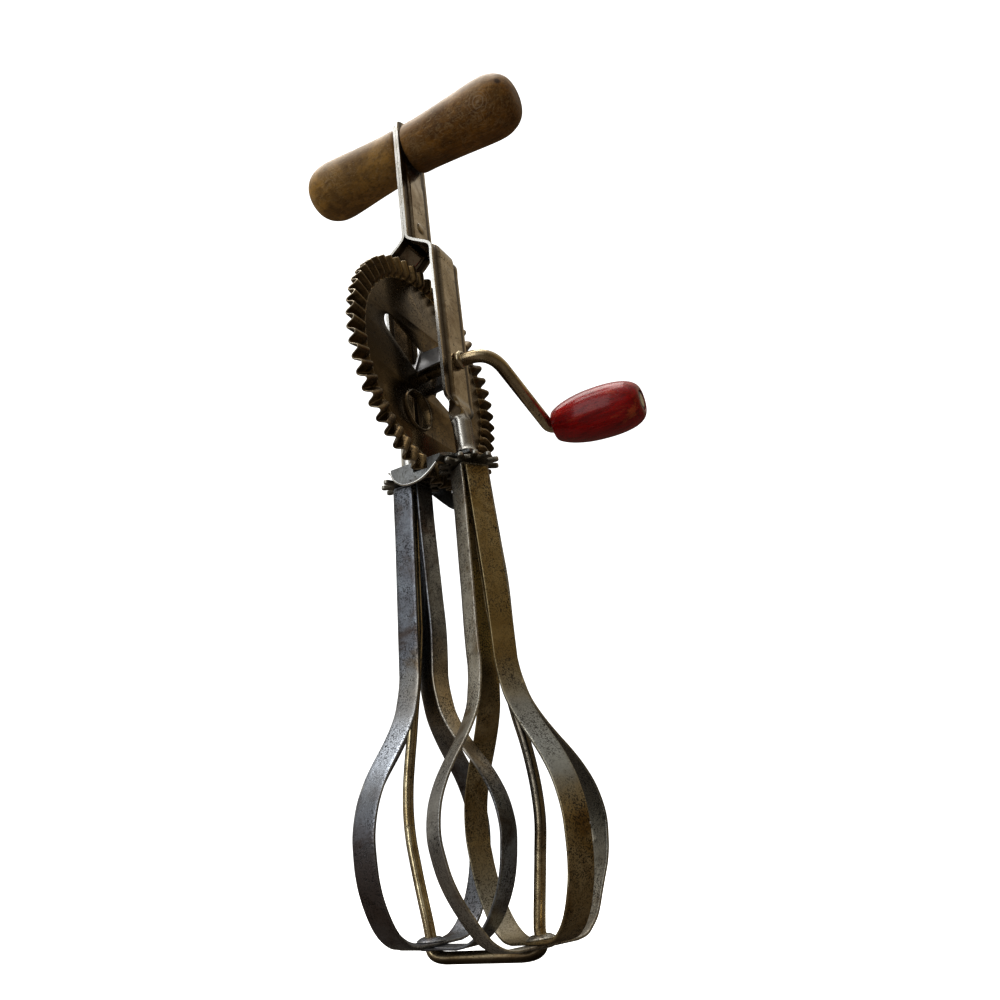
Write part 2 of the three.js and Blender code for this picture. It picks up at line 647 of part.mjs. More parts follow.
// A star of straight fingers with round tips.
function pinionShape(phase) {
  const shape = new THREE.Shape();
  const half = PINION_TOOTH_WIDTH / 2;
  const straight = PINION_RADIUS - half;
  for (let i = 0; i < PINION_TEETH; i += 1) {
    const turn = phase + (i / PINION_TEETH) * 2 * Math.PI;
    const root = Math.asin(half / PINION_ROOT_RADIUS);
    const start = turn - root;
    const method = i === 0 ? "moveTo" : "lineTo";
    shape[method](PINION_ROOT_RADIUS * Math.cos(start), PINION_ROOT_RADIUS * Math.sin(start));
    shape.absarc(
      straight * Math.cos(turn),
      straight * Math.sin(turn),
      half,
      turn - Math.PI / 2,
      turn + Math.PI / 2,
      false,
    );
    const end = turn + root;
    shape.lineTo(PINION_ROOT_RADIUS * Math.cos(end), PINION_ROOT_RADIUS * Math.sin(end));
  }
  shape.closePath();
  return shape;
}

// The front pinion has a tooth towards the wheel and the rear one a gap, as the wave has two sides.
function pinion(side) {
  const pitch = (2 * Math.PI) / PINION_TEETH;
  const phase = side > 0 ? Math.PI : pitch / 2;
  const star = plate(pinionShape(phase), -PINION_SHEET / 2, PINION_SHEET, 3);
  const under = -PINION_SHEET / 2 - SEAT_GAP - loopPitch * 2;
  const spacer = YOKE_LIFT - YOKE_SHEET - BORE_CLEARANCE * 2;
  const hub = turned([
    [WIRE_BORE, under - EYELET_SHEET],
    [EYELET_FLANGE, under - EYELET_SHEET],
    [EYELET_FLANGE, under],
    [EYELET_BARREL, under],
    [EYELET_BARREL, 0],
    [EYELET_FLANGE, 0],
    [EYELET_FLANGE, spacer],
    [WIRE_BORE, spacer],
    [WIRE_BORE, under - EYELET_SHEET],
  ], 20);
  const bore = bar(WIRE_BORE, -AXIS_LENGTH, PINION_HEIGHT, 20);
  const solid = solidOf(onDasher(star, side)).subtract(solidOf(onDasher(bore, side)));
  return solid.add(solidOf(onDasher(hub, side)));
}

// The hollow rivet that holds the two loops together at the foot.
function eyelet(side) {
  const low = DASHER_FOOT_HEIGHT - PINION_HEIGHT - LOOP_SHEET / 2 - SEAT_GAP;
  const high = low + loopPitch * 2 + SEAT_GAP;
  return solidOf(onDasher(turned([
    [WIRE_BORE, low - EYELET_SHEET],
    [EYELET_FLANGE, low - EYELET_SHEET],
    [EYELET_FLANGE, low],
    [EYELET_BARREL, low],
    [EYELET_BARREL, high],
    [EYELET_FLANGE, high],
    [EYELET_FLANGE, high + EYELET_SHEET],
    [EYELET_BARREL, high + EYELET_SHEET * 2],
    [WIRE_BORE, high + EYELET_SHEET * 2],
    [WIRE_BORE, low - EYELET_SHEET],
  ], 20), side));
}

[["left", -1, LEFT_LOOP_ANGLE], ["right", 1, RIGHT_LOOP_ANGLE]].forEach(([name, side, angle]) => {
  addNode(name + "_pinion", pinion(side), paints.wheelSteel);
  addNode(name + "_loop_outer", loop(side, 0, angle), paints.dasherSteel);
  addNode(name + "_loop_inner", loop(side, 1, angle), paints.dasherSteel);
  addNode(name + "_eyelet", eyelet(side), paints.dasherSteel);
});

// Wire frame: one wire down through both dashers, joined below them; inside the loops it bows outward

const bowShares = [
  [0.62, 0], [0.55, 0.07], [0.49, 0.22], [0.43, 0.48], [0.385, 0.72], [0.335, 0.92],
  [0.285, 1], [0.235, 0.93], [0.18, 0.68], [0.125, 0.38], [0.08, 0.12], [0.055, 0],
];

function wireLeg() {
  const heights = bowShares.map(([share, bow]) => {
    const point = dasherAxisAt(1, share * PINION_HEIGHT);
    point.x += bow * WIRE_BOW;
    return point;
  });
  const curve = new THREE.CatmullRomCurve3(heights, false, "centripetal");
  return [dasherAxisAt(1, WIRE_TOP_HEIGHT), ...curve.getPoints(28)];
}

function wireFrame() {
  const leg = wireLeg();
  const corner = new THREE.Vector3(dasherAxisAt(1, WIRE_RADIUS).x, 0, WIRE_RADIUS);
  const foot = leg[leg.length - 1];
  const middle = new THREE.Vector3(0, 0, WIRE_RADIUS);
  const bend = roundedPath([foot, corner, middle], [WIRE_BEND], 7).slice(1);
  const right = [...leg, ...bend];
  const left = right.slice(0, -1).reverse().map((point) => new THREE.Vector3(-point.x, 0, point.z));
  return solidOf(wire([...right, ...left], WIRE_RADIUS, 10));
}

addNode("wire_frame", wireFrame(), paints.wireSteel);

// Yoke: an arched sheet under the feet of the tubes, with a skirt on each side that ties under the wheel

function yokeArch() {
  const outer = [];
  const inner = [];
  const skirt = [YOKE_HALF_DEPTH, -YOKE_FAR_DROP - YOKE_SHEET];
  const arc = [YOKE_HALF_DEPTH, ...steps(YOKE_HALF_DEPTH, 0, YOKE_STEPS)];
  const all = [...arc, ...arc.slice(0, -1).reverse().map((depth) => -depth)];
  outer.push(skirt);
  inner.push([skirt[0] - YOKE_SHEET, skirt[1]]);
  all.forEach((depth) => {
    const fall = YOKE_ARCH * (depth / YOKE_HALF_DEPTH) ** 2;
    outer.push([depth, -fall]);
    inner.push([depth * (1 - YOKE_SHEET / YOKE_HALF_DEPTH), -fall - YOKE_SHEET]);
  });
  outer.push([-skirt[0], skirt[1]]);
  inner.push([YOKE_SHEET - skirt[0], skirt[1]]);
  const ring = [...outer, ...inner.reverse()];
  const rings = [-1, 1].map((end) => ring.map(([depth, fall]) => new THREE.Vector3(
    end * YOKE_REAR_REACH * 2,
    depth,
    YOKE_HEIGHT + fall,
  )));
  return loft(rings, false);
}

// The lower edges of the yoke's two skirts: along from the rear end, and how far they hang there.
const nearSkirtShares = [
  [0, 0.3], [0.05, 0.36], [0.1, 0.66], [0.2, 0.92], [0.32, 1], [0.46, 0.96], [0.6, 0.76],
  [0.72, 0.5], [0.8, 0.3], [1, 0.26],
];
const farSkirtShares = [
  [0, 0.21], [0.06, 0.26], [0.16, 0.47], [0.27, 0.71], [0.37, 0.9], [0.49, 1], [0.62, 0.92],
  [0.75, 0.62], [0.83, 0.24], [1, 0.19],
];

function yokeSideShape(skirtShares, drop) {
  const lower = skirtShares.map(([along, hang]) => new THREE.Vector2(
    THREE.MathUtils.lerp(-YOKE_REAR_REACH, YOKE_FRONT_REACH, along),
    -hang * drop,
  ));
  const shape = new THREE.Shape();
  shape.moveTo(-YOKE_REAR_REACH, YOKE_SHEET);
  shape.lineTo(lower[0].x, lower[0].y);
  shape.splineThru(lower.slice(1));
  shape.lineTo(YOKE_FRONT_REACH, YOKE_SHEET);
  shape.closePath();
  return shape;
}

// The yoke seen from above: a rounded plate at the rear, a plate with a small tab at the front.
function yokePlanShape() {
  const shape = new THREE.Shape();
  const [depth, tab] = [YOKE_HALF_DEPTH + YOKE_SHEET, TUBE_RADIUS + STRAP_SHEET / 2];
  const corner = depth / 3;
  shape.moveTo(-YOKE_REAR_REACH + corner, -depth);
  shape.lineTo(YOKE_SKIRT_REACH, -depth);
  shape.lineTo(YOKE_SKIRT_REACH + YOKE_SHEET, -tab);
  shape.lineTo(YOKE_FRONT_REACH, -tab);
  shape.lineTo(YOKE_FRONT_REACH, tab);
  shape.lineTo(YOKE_SKIRT_REACH + YOKE_SHEET, tab);
  shape.lineTo(YOKE_SKIRT_REACH, depth);
  shape.lineTo(-YOKE_REAR_REACH + corner, depth);
  shape.quadraticCurveTo(-YOKE_REAR_REACH, depth, -YOKE_REAR_REACH, depth - corner * 2);
  shape.lineTo(-YOKE_REAR_REACH, corner * 2 - depth);
  shape.quadraticCurveTo(-YOKE_REAR_REACH, -depth, -YOKE_REAR_REACH + corner, -depth);
  return shape;
}

function yoke() {
  const reach = YOKE_HALF_DEPTH * 2;
  const near = plate(yokeSideShape(nearSkirtShares, YOKE_NEAR_DROP), -YOKE_SHEET, reach);
  const far = plate(yokeSideShape(farSkirtShares, YOKE_FAR_DROP), -reach, reach);
  [near, far].forEach((half) => half.rotateX(Math.PI / 2).translate(0, 0, YOKE_HEIGHT));
  const plan = plate(yokePlanShape(), YOKE_HEIGHT - reach, reach * 2);
  const wheelRoom = bar(WHEEL_RADIUS + YOKE_CLEARANCE, -YOKE_SLOT, YOKE_SLOT, 96);
  return solidOf(yokeArch())
    .intersect(solidOf(near).add(solidOf(far)))
    .intersect(solidOf(plan))
    .subtract(solidOf(onAxle(wheelRoom)))
    .subtract(solidOf(onDasher(bar(WIRE_BORE, -PINION_SHEET, reach), 1)))
    .subtract(solidOf(onDasher(bar(WIRE_BORE, -PINION_SHEET, reach), -1)));
}

addNode("yoke", yoke(), paints.steel);

// The part is held by its handle, so the origin is moved to the middle of the grip
root.position.z = -HANDLE_HEIGHT;

export default root;
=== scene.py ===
"""Rotary egg beater: finer pieces, materials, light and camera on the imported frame."""

import math

import bpy
import bmesh
from mathutils import Matrix, Vector


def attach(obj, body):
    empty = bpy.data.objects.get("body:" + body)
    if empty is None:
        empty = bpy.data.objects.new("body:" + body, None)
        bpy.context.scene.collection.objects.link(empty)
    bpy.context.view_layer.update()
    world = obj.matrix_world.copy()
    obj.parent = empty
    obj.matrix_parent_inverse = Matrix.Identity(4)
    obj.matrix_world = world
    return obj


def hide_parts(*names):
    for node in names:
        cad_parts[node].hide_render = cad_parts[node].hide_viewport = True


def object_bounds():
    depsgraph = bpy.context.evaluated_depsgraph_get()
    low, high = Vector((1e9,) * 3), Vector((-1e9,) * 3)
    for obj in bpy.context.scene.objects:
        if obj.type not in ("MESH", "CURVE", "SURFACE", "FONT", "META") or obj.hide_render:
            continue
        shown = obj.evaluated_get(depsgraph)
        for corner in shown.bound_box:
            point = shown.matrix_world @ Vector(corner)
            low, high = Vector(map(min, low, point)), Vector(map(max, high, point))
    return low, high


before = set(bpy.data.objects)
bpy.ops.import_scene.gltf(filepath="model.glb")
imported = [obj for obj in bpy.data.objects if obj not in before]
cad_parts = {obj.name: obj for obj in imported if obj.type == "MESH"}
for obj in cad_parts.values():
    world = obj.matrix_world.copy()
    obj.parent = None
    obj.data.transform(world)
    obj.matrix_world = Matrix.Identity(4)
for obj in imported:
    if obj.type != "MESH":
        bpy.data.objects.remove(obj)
cad_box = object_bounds()

# Sizes are in millimetres above the foot of the wire frame, as in the CAD; its origin is in the grip.
GRIP = 272.0
WHEEL_Z = 175.2
PINION_Z = 137.2
# The dashers' axes stand this far from the middle at the pinions, and lean out by SPREAD over DROP.
DASHER_OFFSET = 10.7
SPREAD = 5.7
DROP = 131.2
LEAN = math.atan2(SPREAD, DROP)
# Points closer than this, in metres, are one point.
MERGE_DISTANCE = 1e-6
BEVEL_SEGMENTS = 3


def metres(point):
    """A point in millimetres above the foot, in the frame's metres."""
    return Vector((point[0], point[1], point[2] - GRIP)) / 1000


def placed(name, data):
    """A new object in the scene."""
    obj = bpy.data.objects.new(name, data)
    bpy.context.collection.objects.link(obj)
    return obj


# ---- shapes ----


def skin(rings, closed=False):
    """Quads between a row of equal rings; an open row gets end faces."""
    sides = len(rings[0])
    verts = [tuple(p) for ring in rings for p in ring]
    faces = []
    spans = len(rings) if closed else len(rings) - 1
    for i in range(spans):
        a = i * sides
        b = ((i + 1) % len(rings)) * sides
        for j in range(sides):
            k = (j + 1) % sides
            faces.append((a + j, b + j, b + k, a + k))
    if not closed:
        last = (len(rings) - 1) * sides
        faces.append(tuple(range(sides)))
        faces.append(tuple(last + j for j in reversed(range(sides))))
    return verts, faces


def turned(outline, segments=64):
    """A closed outline of (radius, height) turned about Z."""
    rings = []
    for i in range(segments):
        a = 2 * math.pi * i / segments
        rings.append([(r * math.cos(a), r * math.sin(a), z) for r, z in outline])
    return skin(rings, closed=True)


def moved(shape, matrix):
    verts, faces = shape
    return [tuple(matrix @ Vector(v)) for v in verts], faces


def joined(*shapes):
    verts, faces = [], []
    for v, f in shapes:
        base = len(verts)
        verts += v
        faces += [tuple(i + base for i in face) for face in f]
    return verts, faces


def tube(path, radius, sides=24):
    """A round wire along a path, with flat ends."""
    rings = []
    across = Vector((0, 1, 0))
    count = len(path)
    for i, point in enumerate(path):
        along = (path[min(i + 1, count - 1)] - path[max(i - 1, 0)]).normalized()
        side = (across - along * across.dot(along)).normalized()
        other = along.cross(side)
        across = side
        rings.append([
            point + (side * math.cos(t) + other * math.sin(t)) * radius
            for t in (2 * math.pi * j / sides for j in range(sides))
        ])
    return skin(rings)


def blend(p1, m1, p2, m2, t):
    """From p1 to p2 with the slopes m1 and m2."""
    return (p1 * (2 * t**3 - 3 * t**2 + 1) + m1 * (t**3 - 2 * t**2 + t)
            + p2 * (3 * t**2 - 2 * t**3) + m2 * (t**3 - t**2))


def smooth_curve(points, count):
    """Points along a centripetal curve through the given ones."""
    pts = [Vector(p) for p in points]
    pts = [pts[0] * 2 - pts[1]] + pts + [pts[-1] * 2 - pts[-2]]
    spans = len(pts) - 3
    out = []
    for n in range(count + 1):
        at = spans * n / count
        i = min(int(at), spans - 1)
        t = at - i
        p0, p1, p2, p3 = pts[i:i + 4]
        d1 = max((p1 - p0).length ** 0.5, 1e-6)
        d2 = max((p2 - p1).length ** 0.5, 1e-6)
        d3 = max((p3 - p2).length ** 0.5, 1e-6)
        m1 = ((p1 - p0) / d1 - (p2 - p0) / (d1 + d2) + (p2 - p1) / d2) * d2
        m2 = ((p2 - p1) / d2 - (p3 - p1) / (d2 + d3) + (p3 - p2) / d3) * d2
        out.append(blend(p1, m1, p2, m2, t))
    return out


def rounded(start, corner, end, steps):
    """Points from start to end, bent towards the corner."""
    shares = [n / steps for n in range(steps + 1)]
    return [start * (1 - t) ** 2 + corner * 2 * t * (1 - t) + end * t * t for t in shares]


def rounded_path(corners, setbacks, steps):
    """Straight runs between the corners, each corner rounded from its setback on both sides."""
    path = [Vector(corners[0])]
    for i in range(1, len(corners) - 1):
        corner = Vector(corners[i])
        start = corner + (Vector(corners[i - 1]) - corner).normalized() * setbacks[i - 1]
        end = corner + (Vector(corners[i + 1]) - corner).normalized() * setbacks[i - 1]
        path += rounded(start, corner, end, steps)
    path.append(Vector(corners[-1]))
    return path


def dense(path, step):
    """The same path with no straight run longer than step."""
    out = [path[0]]
    for a, b in zip(path, path[1:]):
        parts = max(1, int((b - a).length / step))
        out += [a.lerp(b, (n + 1) / parts) for n in range(parts)]
    return out


def cut_sheet(loops, thickness, edge):
    """A flat sheet about Z = 0 with holes and softened edges."""
    curve = bpy.data.curves.new("cut", "CURVE")
    curve.dimensions = "2D"
    curve.fill_mode = "BOTH"
    curve.extrude = thickness / 2 - edge
    curve.bevel_depth = edge
    curve.bevel_resolution = 1
    curve.offset = -edge
    for loop in loops:
        spline = curve.splines.new("POLY")
        spline.points.add(len(loop) - 1)
        for point, (x, y) in zip(spline.points, loop):
            point.co = (x, y, 0, 1)
        spline.use_cyclic_u = True
    holder = placed("cut", curve)
    depsgraph = bpy.context.evaluated_depsgraph_get()
    made = bpy.data.meshes.new_from_object(holder.evaluated_get(depsgraph))
    shape = [tuple(v.co) for v in made.vertices], [tuple(p.vertices) for p in made.polygons]
    bpy.data.objects.remove(holder)
    bpy.data.curves.remove(curve)
    bpy.data.meshes.remove(made)
    return shape


def arc(cx, cy, radius, start, end, count):
    angles = [start + (end - start) * n / count for n in range(count + 1)]
    return [(cx + radius * math.cos(a), cy + radius * math.sin(a)) for a in angles]


def circle(radius, cx=0.0, cy=0.0, count=64):
    return arc(cx, cy, radius, 0, 2 * math.pi, count)[:-1]


def piece(name, shape, material, body, *nodes, bevel=0.0, sharp=40, edge_paint=None, edge_faces=()):
    """An object that rides on a body and stands for the CAD nodes named; edge_faces get edge_paint."""
    verts, faces = shape
    mesh = bpy.data.meshes.new(name)
    mesh.from_pydata([metres(v) for v in verts], [], faces)
    for index in edge_faces:
        mesh.polygons[index].material_index = 1
    work = bmesh.new()
    work.from_mesh(mesh)
    bmesh.ops.remove_doubles(work, verts=work.verts, dist=MERGE_DISTANCE)
    bmesh.ops.recalc_face_normals(work, faces=work.faces)
    work.to_mesh(mesh)
    work.free()
    mesh.shade_smooth()
    mesh.set_sharp_from_angle(angle=math.radians(sharp))
    mesh.materials.append(material)
    if edge_paint:
        mesh.materials.append(edge_paint)
    obj = placed(name, mesh)
    if bevel:
        mod = obj.modifiers.new("edges", "BEVEL")
        mod.width = bevel / 1000
        mod.segments = BEVEL_SEGMENTS
        mod.limit_method = "ANGLE"
        mod.angle_limit = math.radians(sharp)
        mod.harden_normals = True
        mod.material = 1 if edge_paint else -1
    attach(obj, body)
    if nodes:
        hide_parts(*nodes)
    return obj


def ease(value, low, high):
    """From zero at low to one at high, with a smooth start and end."""
    t = min(max((value - low) / (high - low), 0), 1)
    return t * t * (3 - 2 * t)


# ---- materials ----


class Tree:
    """A node tree, with short ways to add its nodes and link them."""

    def __init__(self, tree):
        self.tree = tree
        tree.nodes.clear()

    def node(self, kind, **inputs):
        """A new node with values or sockets for its inputs; an underscore stands for a space."""
        made = self.tree.nodes.new("ShaderNode" + kind)
        for key, value in inputs.items():
            self.link(value, made.inputs[key.replace("_", " ")])
        return made

    def link(self, value, socket):
        if isinstance(value, bpy.types.NodeSocket):
            self.tree.links.new(value, socket)
        else:
            socket.default_value = value

    def ramp(self, value, *stops):
        """Stops are (place, grey) or (place, (red, green, blue))."""
        node = self.node("ValToRGB", Fac=value)
        while len(node.color_ramp.elements) < len(stops):
            node.color_ramp.elements.new(0.5)
        for element, (at, color) in zip(node.color_ramp.elements, stops):
            element.position = at
            element.color = (color,) * 3 + (1,) if isinstance(color, (int, float)) else (*color, 1)
        return node.outputs["Color"]

    def calc(self, operation, a, b=0.0, clamp=False):
        node = self.node("Math")
        node.operation = operation
        node.use_clamp = clamp
        self.link(a, node.inputs[0])
        self.link(b, node.inputs[1])
        return node.outputs[0]

    def times(self, a, b):
        return self.calc("MULTIPLY", a, b)

    def vector(self, operation, a, b=(0, 0, 0)):
        """Vector maths; only ADD gives a vector."""
        node = self.node("VectorMath")
        node.operation = operation
        self.link(a, node.inputs[0])
        self.link(b, node.inputs[1])
        return node.outputs["Vector" if operation == "ADD" else "Value"]

    def choose(self, socket, otherwise, to_camera):
        """One shader to the camera and another to every other ray."""
        node = self.node("MixShader")
        self.link(self.node("LightPath").outputs["Is Camera Ray"], node.inputs[0])
        self.link(otherwise.outputs[0], node.inputs[1])
        self.link(to_camera.outputs[0], node.inputs[2])
        self.link(node.outputs[0], socket)


class Paint(Tree):
    """Builds one procedural material; every texture runs on object coordinates in metres."""

    def __init__(self, name, metallic=0.0, roughness=0.5, **sockets):
        self.material = bpy.data.materials.new(name)
        self.material.use_nodes = True
        super().__init__(self.material.node_tree)
        self.shader = self.node("BsdfPrincipled", Metallic=metallic, Roughness=roughness, **sockets)
        self.surface = self.node("OutputMaterial").inputs["Surface"]
        self.link(self.shader.outputs["BSDF"], self.surface)
        self.coords = self.node("TexCoord").outputs["Object"]

    def space(self, scale=(1, 1, 1), turn=(0, 0, 0), shift=(0, 0, 0)):
        node = self.node("Mapping", Location=shift, Rotation=turn, Scale=scale, Vector=self.coords)
        return node.outputs["Vector"]

    def noise(self, scale, detail=4.0, rough=0.55, space=None, distort=0.0):
        node = self.node("TexNoise", Vector=space or self.coords, Scale=scale, Detail=detail, Roughness=rough,
                         Distortion=distort)
        return node.outputs["Fac"]

    def mix(self, amount, a, b):
        node = self.node("Mix")
        node.data_type = "RGBA"
        self.link(amount, node.inputs["Factor"])
        for value, socket in ((a, node.inputs[6]), (b, node.inputs[7])):
            self.link(value if isinstance(value, bpy.types.NodeSocket) else (*value, 1), socket)
        return node.outputs[2]

    def near(self, point, reach):
        """Zero at the point and one at the given reach from it."""
        return self.calc("DIVIDE", self.vector("DISTANCE", self.coords, point), reach, clamp=True)

    def along(self, direction):
        """Place along a direction, whose length sets the scale, from the origin."""
        return self.vector("DOT_PRODUCT", self.coords, direction)

    def edges(self, low, high):
        """One on convex edges, which wear bright."""
        return self.ramp(self.node("NewGeometry").outputs["Pointiness"], (low, 0.0), (high, 1.0))

    def bump(self, height, strength, distance, below=None):
        node = self.node("Bump", Strength=strength, Distance=distance, Height=height)
        if below:
            self.link(below, node.inputs["Normal"])
        return node.outputs["Normal"]

    def finish(self, color, roughness=None, normal=None):
        self.link(color, self.shader.inputs["Base Color"])
        if roughness:
            self.link(roughness, self.shader.inputs["Roughness"])
        if normal:
            self.link(normal, self.shader.inputs["Normal"])
        return self.material


# How finely the tarnish, the specks, the pits and the dabs' soft rims are grained, per metre.
MOTTLE = 140
SPECK = 2300
PIT = 950
DAB_RIM = 110


def worn_metal(name, bright, dull, stain, pits, speckle=0.5, pitting=0.8, rough=(0.25, 0.5), metallic=1.0,
               rub=(0.53, 0.62), rubbed=None, relief=1.0, bands=(), dabs=()):
    """Plated or tinned steel: mottled tarnish, stains, dense fine specks, pits, scratches and rubbed edges.

    bright, dull, stain and pits are its colours. Each of bands is a direction, the ramp that masks by the
    place along it, a tint and a roughness. Each of dabs is a point in metres, a reach, a tint and a share.
    Bands and dabs carry real stains and tarnish, and also painted shade, painted highlights and painted
    reflections.
    """
    p = Paint(name, metallic=metallic)
    cloud = p.noise(MOTTLE, 6, 0.62, distort=0.5)
    color = p.mix(p.ramp(cloud, (0.36, 0.0), (0.64, 1.0)), bright, dull)
    stains = p.noise(MOTTLE * 0.45, 6, 0.68, p.space(shift=(0.3, 0.7, 0.1)), 1.2)
    color = p.mix(p.ramp(stains, (0.49, 0.0), (0.66, 0.9)), color, stain)
    masks = []
    for direction, stops, tint, shine in bands:
        mask = p.ramp(p.calc("ABSOLUTE", p.along(direction)), *stops)
        masks.append((mask, shine))
        color = p.mix(mask, color, tint)
    for point, reach, tint, amount in dabs:
        apart = p.calc("ADD", p.times(p.near(point, reach), 0.8), p.times(p.noise(DAB_RIM, 4, 0.6), 0.3))
        color = p.mix(p.ramp(apart, (0.35, amount), (0.9, 0.0)), color, tint)
    where = p.noise(MOTTLE * 0.7, 4, 0.6, p.space(shift=(0.9, 0.2, 0.5)))
    where = p.ramp(where, (0.36, 0.2), (0.62, 1.0))
    dots = p.times(p.ramp(p.noise(SPECK, 2, 0.6), (0.40, speckle), (0.52, 0.0)), where)
    color = p.mix(dots, color, pits)
    holes = p.times(p.ramp(p.noise(PIT, 3, 0.5), (0.33, pitting), (0.38, 0.0)), where)
    color = p.mix(holes, color, pits)
    if rubbed:
        color = p.mix(p.edges(*rub), color, rubbed)
    scratch = p.noise(1, 2, 0.5, p.space((2600, 2600, 160)))
    low, high = rough
    value = p.mix(p.ramp(cloud, (0.3, 0.0), (0.7, 1.0)), (low,) * 3, (high,) * 3)
    for mask, shine in masks:
        value = p.mix(mask, value, (shine,) * 3)
    value = p.mix(p.calc("MAXIMUM", dots, holes), value, (0.7,) * 3)
    value = p.mix(p.ramp(scratch, (0.3, 0.0), (0.7, 0.3)), value, (high + 0.1,) * 3)
    normal = p.bump(holes, 0.4 * relief, -0.0002)
    normal = p.bump(dots, 0.25 * relief, -0.00006, normal)
    normal = p.bump(p.noise(MOTTLE * 2.2, 4, 0.6), 0.12 * relief, 0.0005, normal)
    normal = p.bump(scratch, 0.05 * relief, 0.0001, normal)
    return p.finish(color, value, normal)


TARNISHED = dict(bright=(0.50, 0.43, 0.34), dull=(0.34, 0.275, 0.185), stain=(0.22, 0.155, 0.09),
                 pits=(0.05, 0.035, 0.02), speckle=0.25, pitting=0.6, rough=(0.11, 0.22), relief=0.6)
# A band of painted shade lies beside the rib of a strap, in the crease at its walls, and the rolled tubes
# below it are greyer and a little duller.
RIB_SHADE = ((0, 100, 0), ((0.44, 0.0), (0.52, 0.92), (0.68, 0.92), (0.78, 0.0)), (0.05, 0.032, 0.017), 0.24)
GREY_TUBES = ((0, 0, 5), ((0.586, 0.0), (0.594, 0.9)), (0.80, 0.79, 0.76), 0.25)
# Painted shade: dark brown dabs down the +Y side of the front strap's rolled tube.
TUBE_SHADE = [((0.0127, 0.0022, z), 0.0058, (0.11, 0.075, 0.04), 0.95) for z in (-0.1195, -0.1235, -0.1275)]
# A gold streak down the shank of the right dasher's inner loop: partly golden tarnish, partly a painted
# reflection of light bounced between its wings.
GOLD_TINT_AND_REFLECTION = [((x, 0.0023, z), 0.0095, (1.0, 0.78, 0.28), 1.0)
               for x, z in ((0.0085, -0.172), (0.0088, -0.180), (0.0091, -0.188))]
# The level wire at the feet is darker than its legs.
DARK_FOOT = ((0, 0, 3.6), ((0.962, 0.0), (0.972, 0.85)), (0.15, 0.10, 0.055), 0.4)

frame_steel = worn_metal("frame_steel", **TARNISHED, rub=(0.54, 0.62), rubbed=(0.80, 0.78, 0.74))
strap_steel = worn_metal("strap_steel", **TARNISHED, bands=[RIB_SHADE, GREY_TUBES], dabs=TUBE_SHADE)
yoke_steel = worn_metal(
    "yoke_steel", (0.33, 0.34, 0.34), (0.23, 0.23, 0.23), (0.16, 0.15, 0.13), (0.05, 0.045, 0.04),
    speckle=0.45, rough=(0.30, 0.45),
)
edge_steel = worn_metal(
    "edge_steel", (0.95, 0.95, 0.94), (0.84, 0.83, 0.80), (0.66, 0.62, 0.55), (0.25, 0.22, 0.18),
    speckle=0.05, pitting=0.05, rough=(0.16, 0.26), relief=0.15,
)
wheel_steel = worn_metal(
    "wheel_steel", (0.20, 0.14, 0.068), (0.12, 0.08, 0.036), (0.065, 0.04, 0.017), (0.015, 0.01, 0.007),
    speckle=0.4, pitting=0.5, rough=(0.14, 0.24), metallic=0.92, rub=(0.54, 0.62),
    rubbed=(0.72, 0.68, 0.60), relief=0.7,
    # Painted shade: a broad dark dab on the left part of the disc, beside the hub.
    dabs=[((-0.0009, -0.024, -0.093), 0.030, (0.042, 0.027, 0.011), 0.95)],
)
rim_edge_steel = worn_metal(
    "rim_edge_steel", (0.52, 0.46, 0.36), (0.24, 0.18, 0.11), (0.10, 0.065, 0.035), (0.03, 0.02, 0.015),
    speckle=0.4, pitting=0.4, rough=(0.2, 0.34), relief=0.3,
)
rim_steel = worn_metal(
    "rim_steel", (0.25, 0.175, 0.085), (0.125, 0.083, 0.038), (0.06, 0.036, 0.015), (0.015, 0.01, 0.007),
    speckle=0.5, pitting=0.6, rough=(0.20, 0.34), metallic=0.92, rub=(0.54, 0.62),
    # Painted light: a lighter dab on the upper left of the rim, where it faces up.
    rubbed=(0.62, 0.54, 0.42), dabs=[((-0.0009, -0.006, -0.058), 0.024, (0.44, 0.31, 0.15), 0.7)],
)
pinion_steel = worn_metal(
    "pinion_steel", (0.24, 0.22, 0.18), (0.12, 0.105, 0.08), (0.06, 0.05, 0.035), (0.012, 0.01, 0.01),
    rough=(0.22, 0.42), metallic=0.9, rub=(0.53, 0.60), rubbed=(0.85, 0.83, 0.78),
)
hub_steel = worn_metal(
    "hub_steel", (0.17, 0.17, 0.18), (0.06, 0.055, 0.052), (0.03, 0.025, 0.02), (0.005, 0.005, 0.005),
    rough=(0.3, 0.5), metallic=0.8, rub=(0.53, 0.60), rubbed=(0.45, 0.45, 0.46),
)
# The two dashers' steels differ, grey-blue on the left and pale on the right: partly tarnish, partly painted
# reflection.
left_steel = worn_metal(
    "left_dasher_steel", (0.40, 0.43, 0.475), (0.23, 0.235, 0.26), (0.13, 0.095, 0.075),
    (0.02, 0.018, 0.018), speckle=0.9, rough=(0.24, 0.42), rubbed=(0.66, 0.66, 0.66),
    dabs=[
        ((-0.001, -0.001, -0.208), 0.026, (0.66, 0.53, 0.32), 0.75),
        # Painted highlight: a pale bluish dab on the upper bulb.
        ((-0.0154, -0.0155, -0.216), 0.024, (0.66, 0.72, 0.82), 0.85),
        # Painted shade: dark dabs on the lower bulbs, where they face down.
        ((-0.040, 0.0017, -0.251), 0.026, (0.17, 0.13, 0.12), 0.7),
        ((-0.0173, -0.0244, -0.252), 0.026, (0.17, 0.13, 0.12), 0.7),
    ],
)
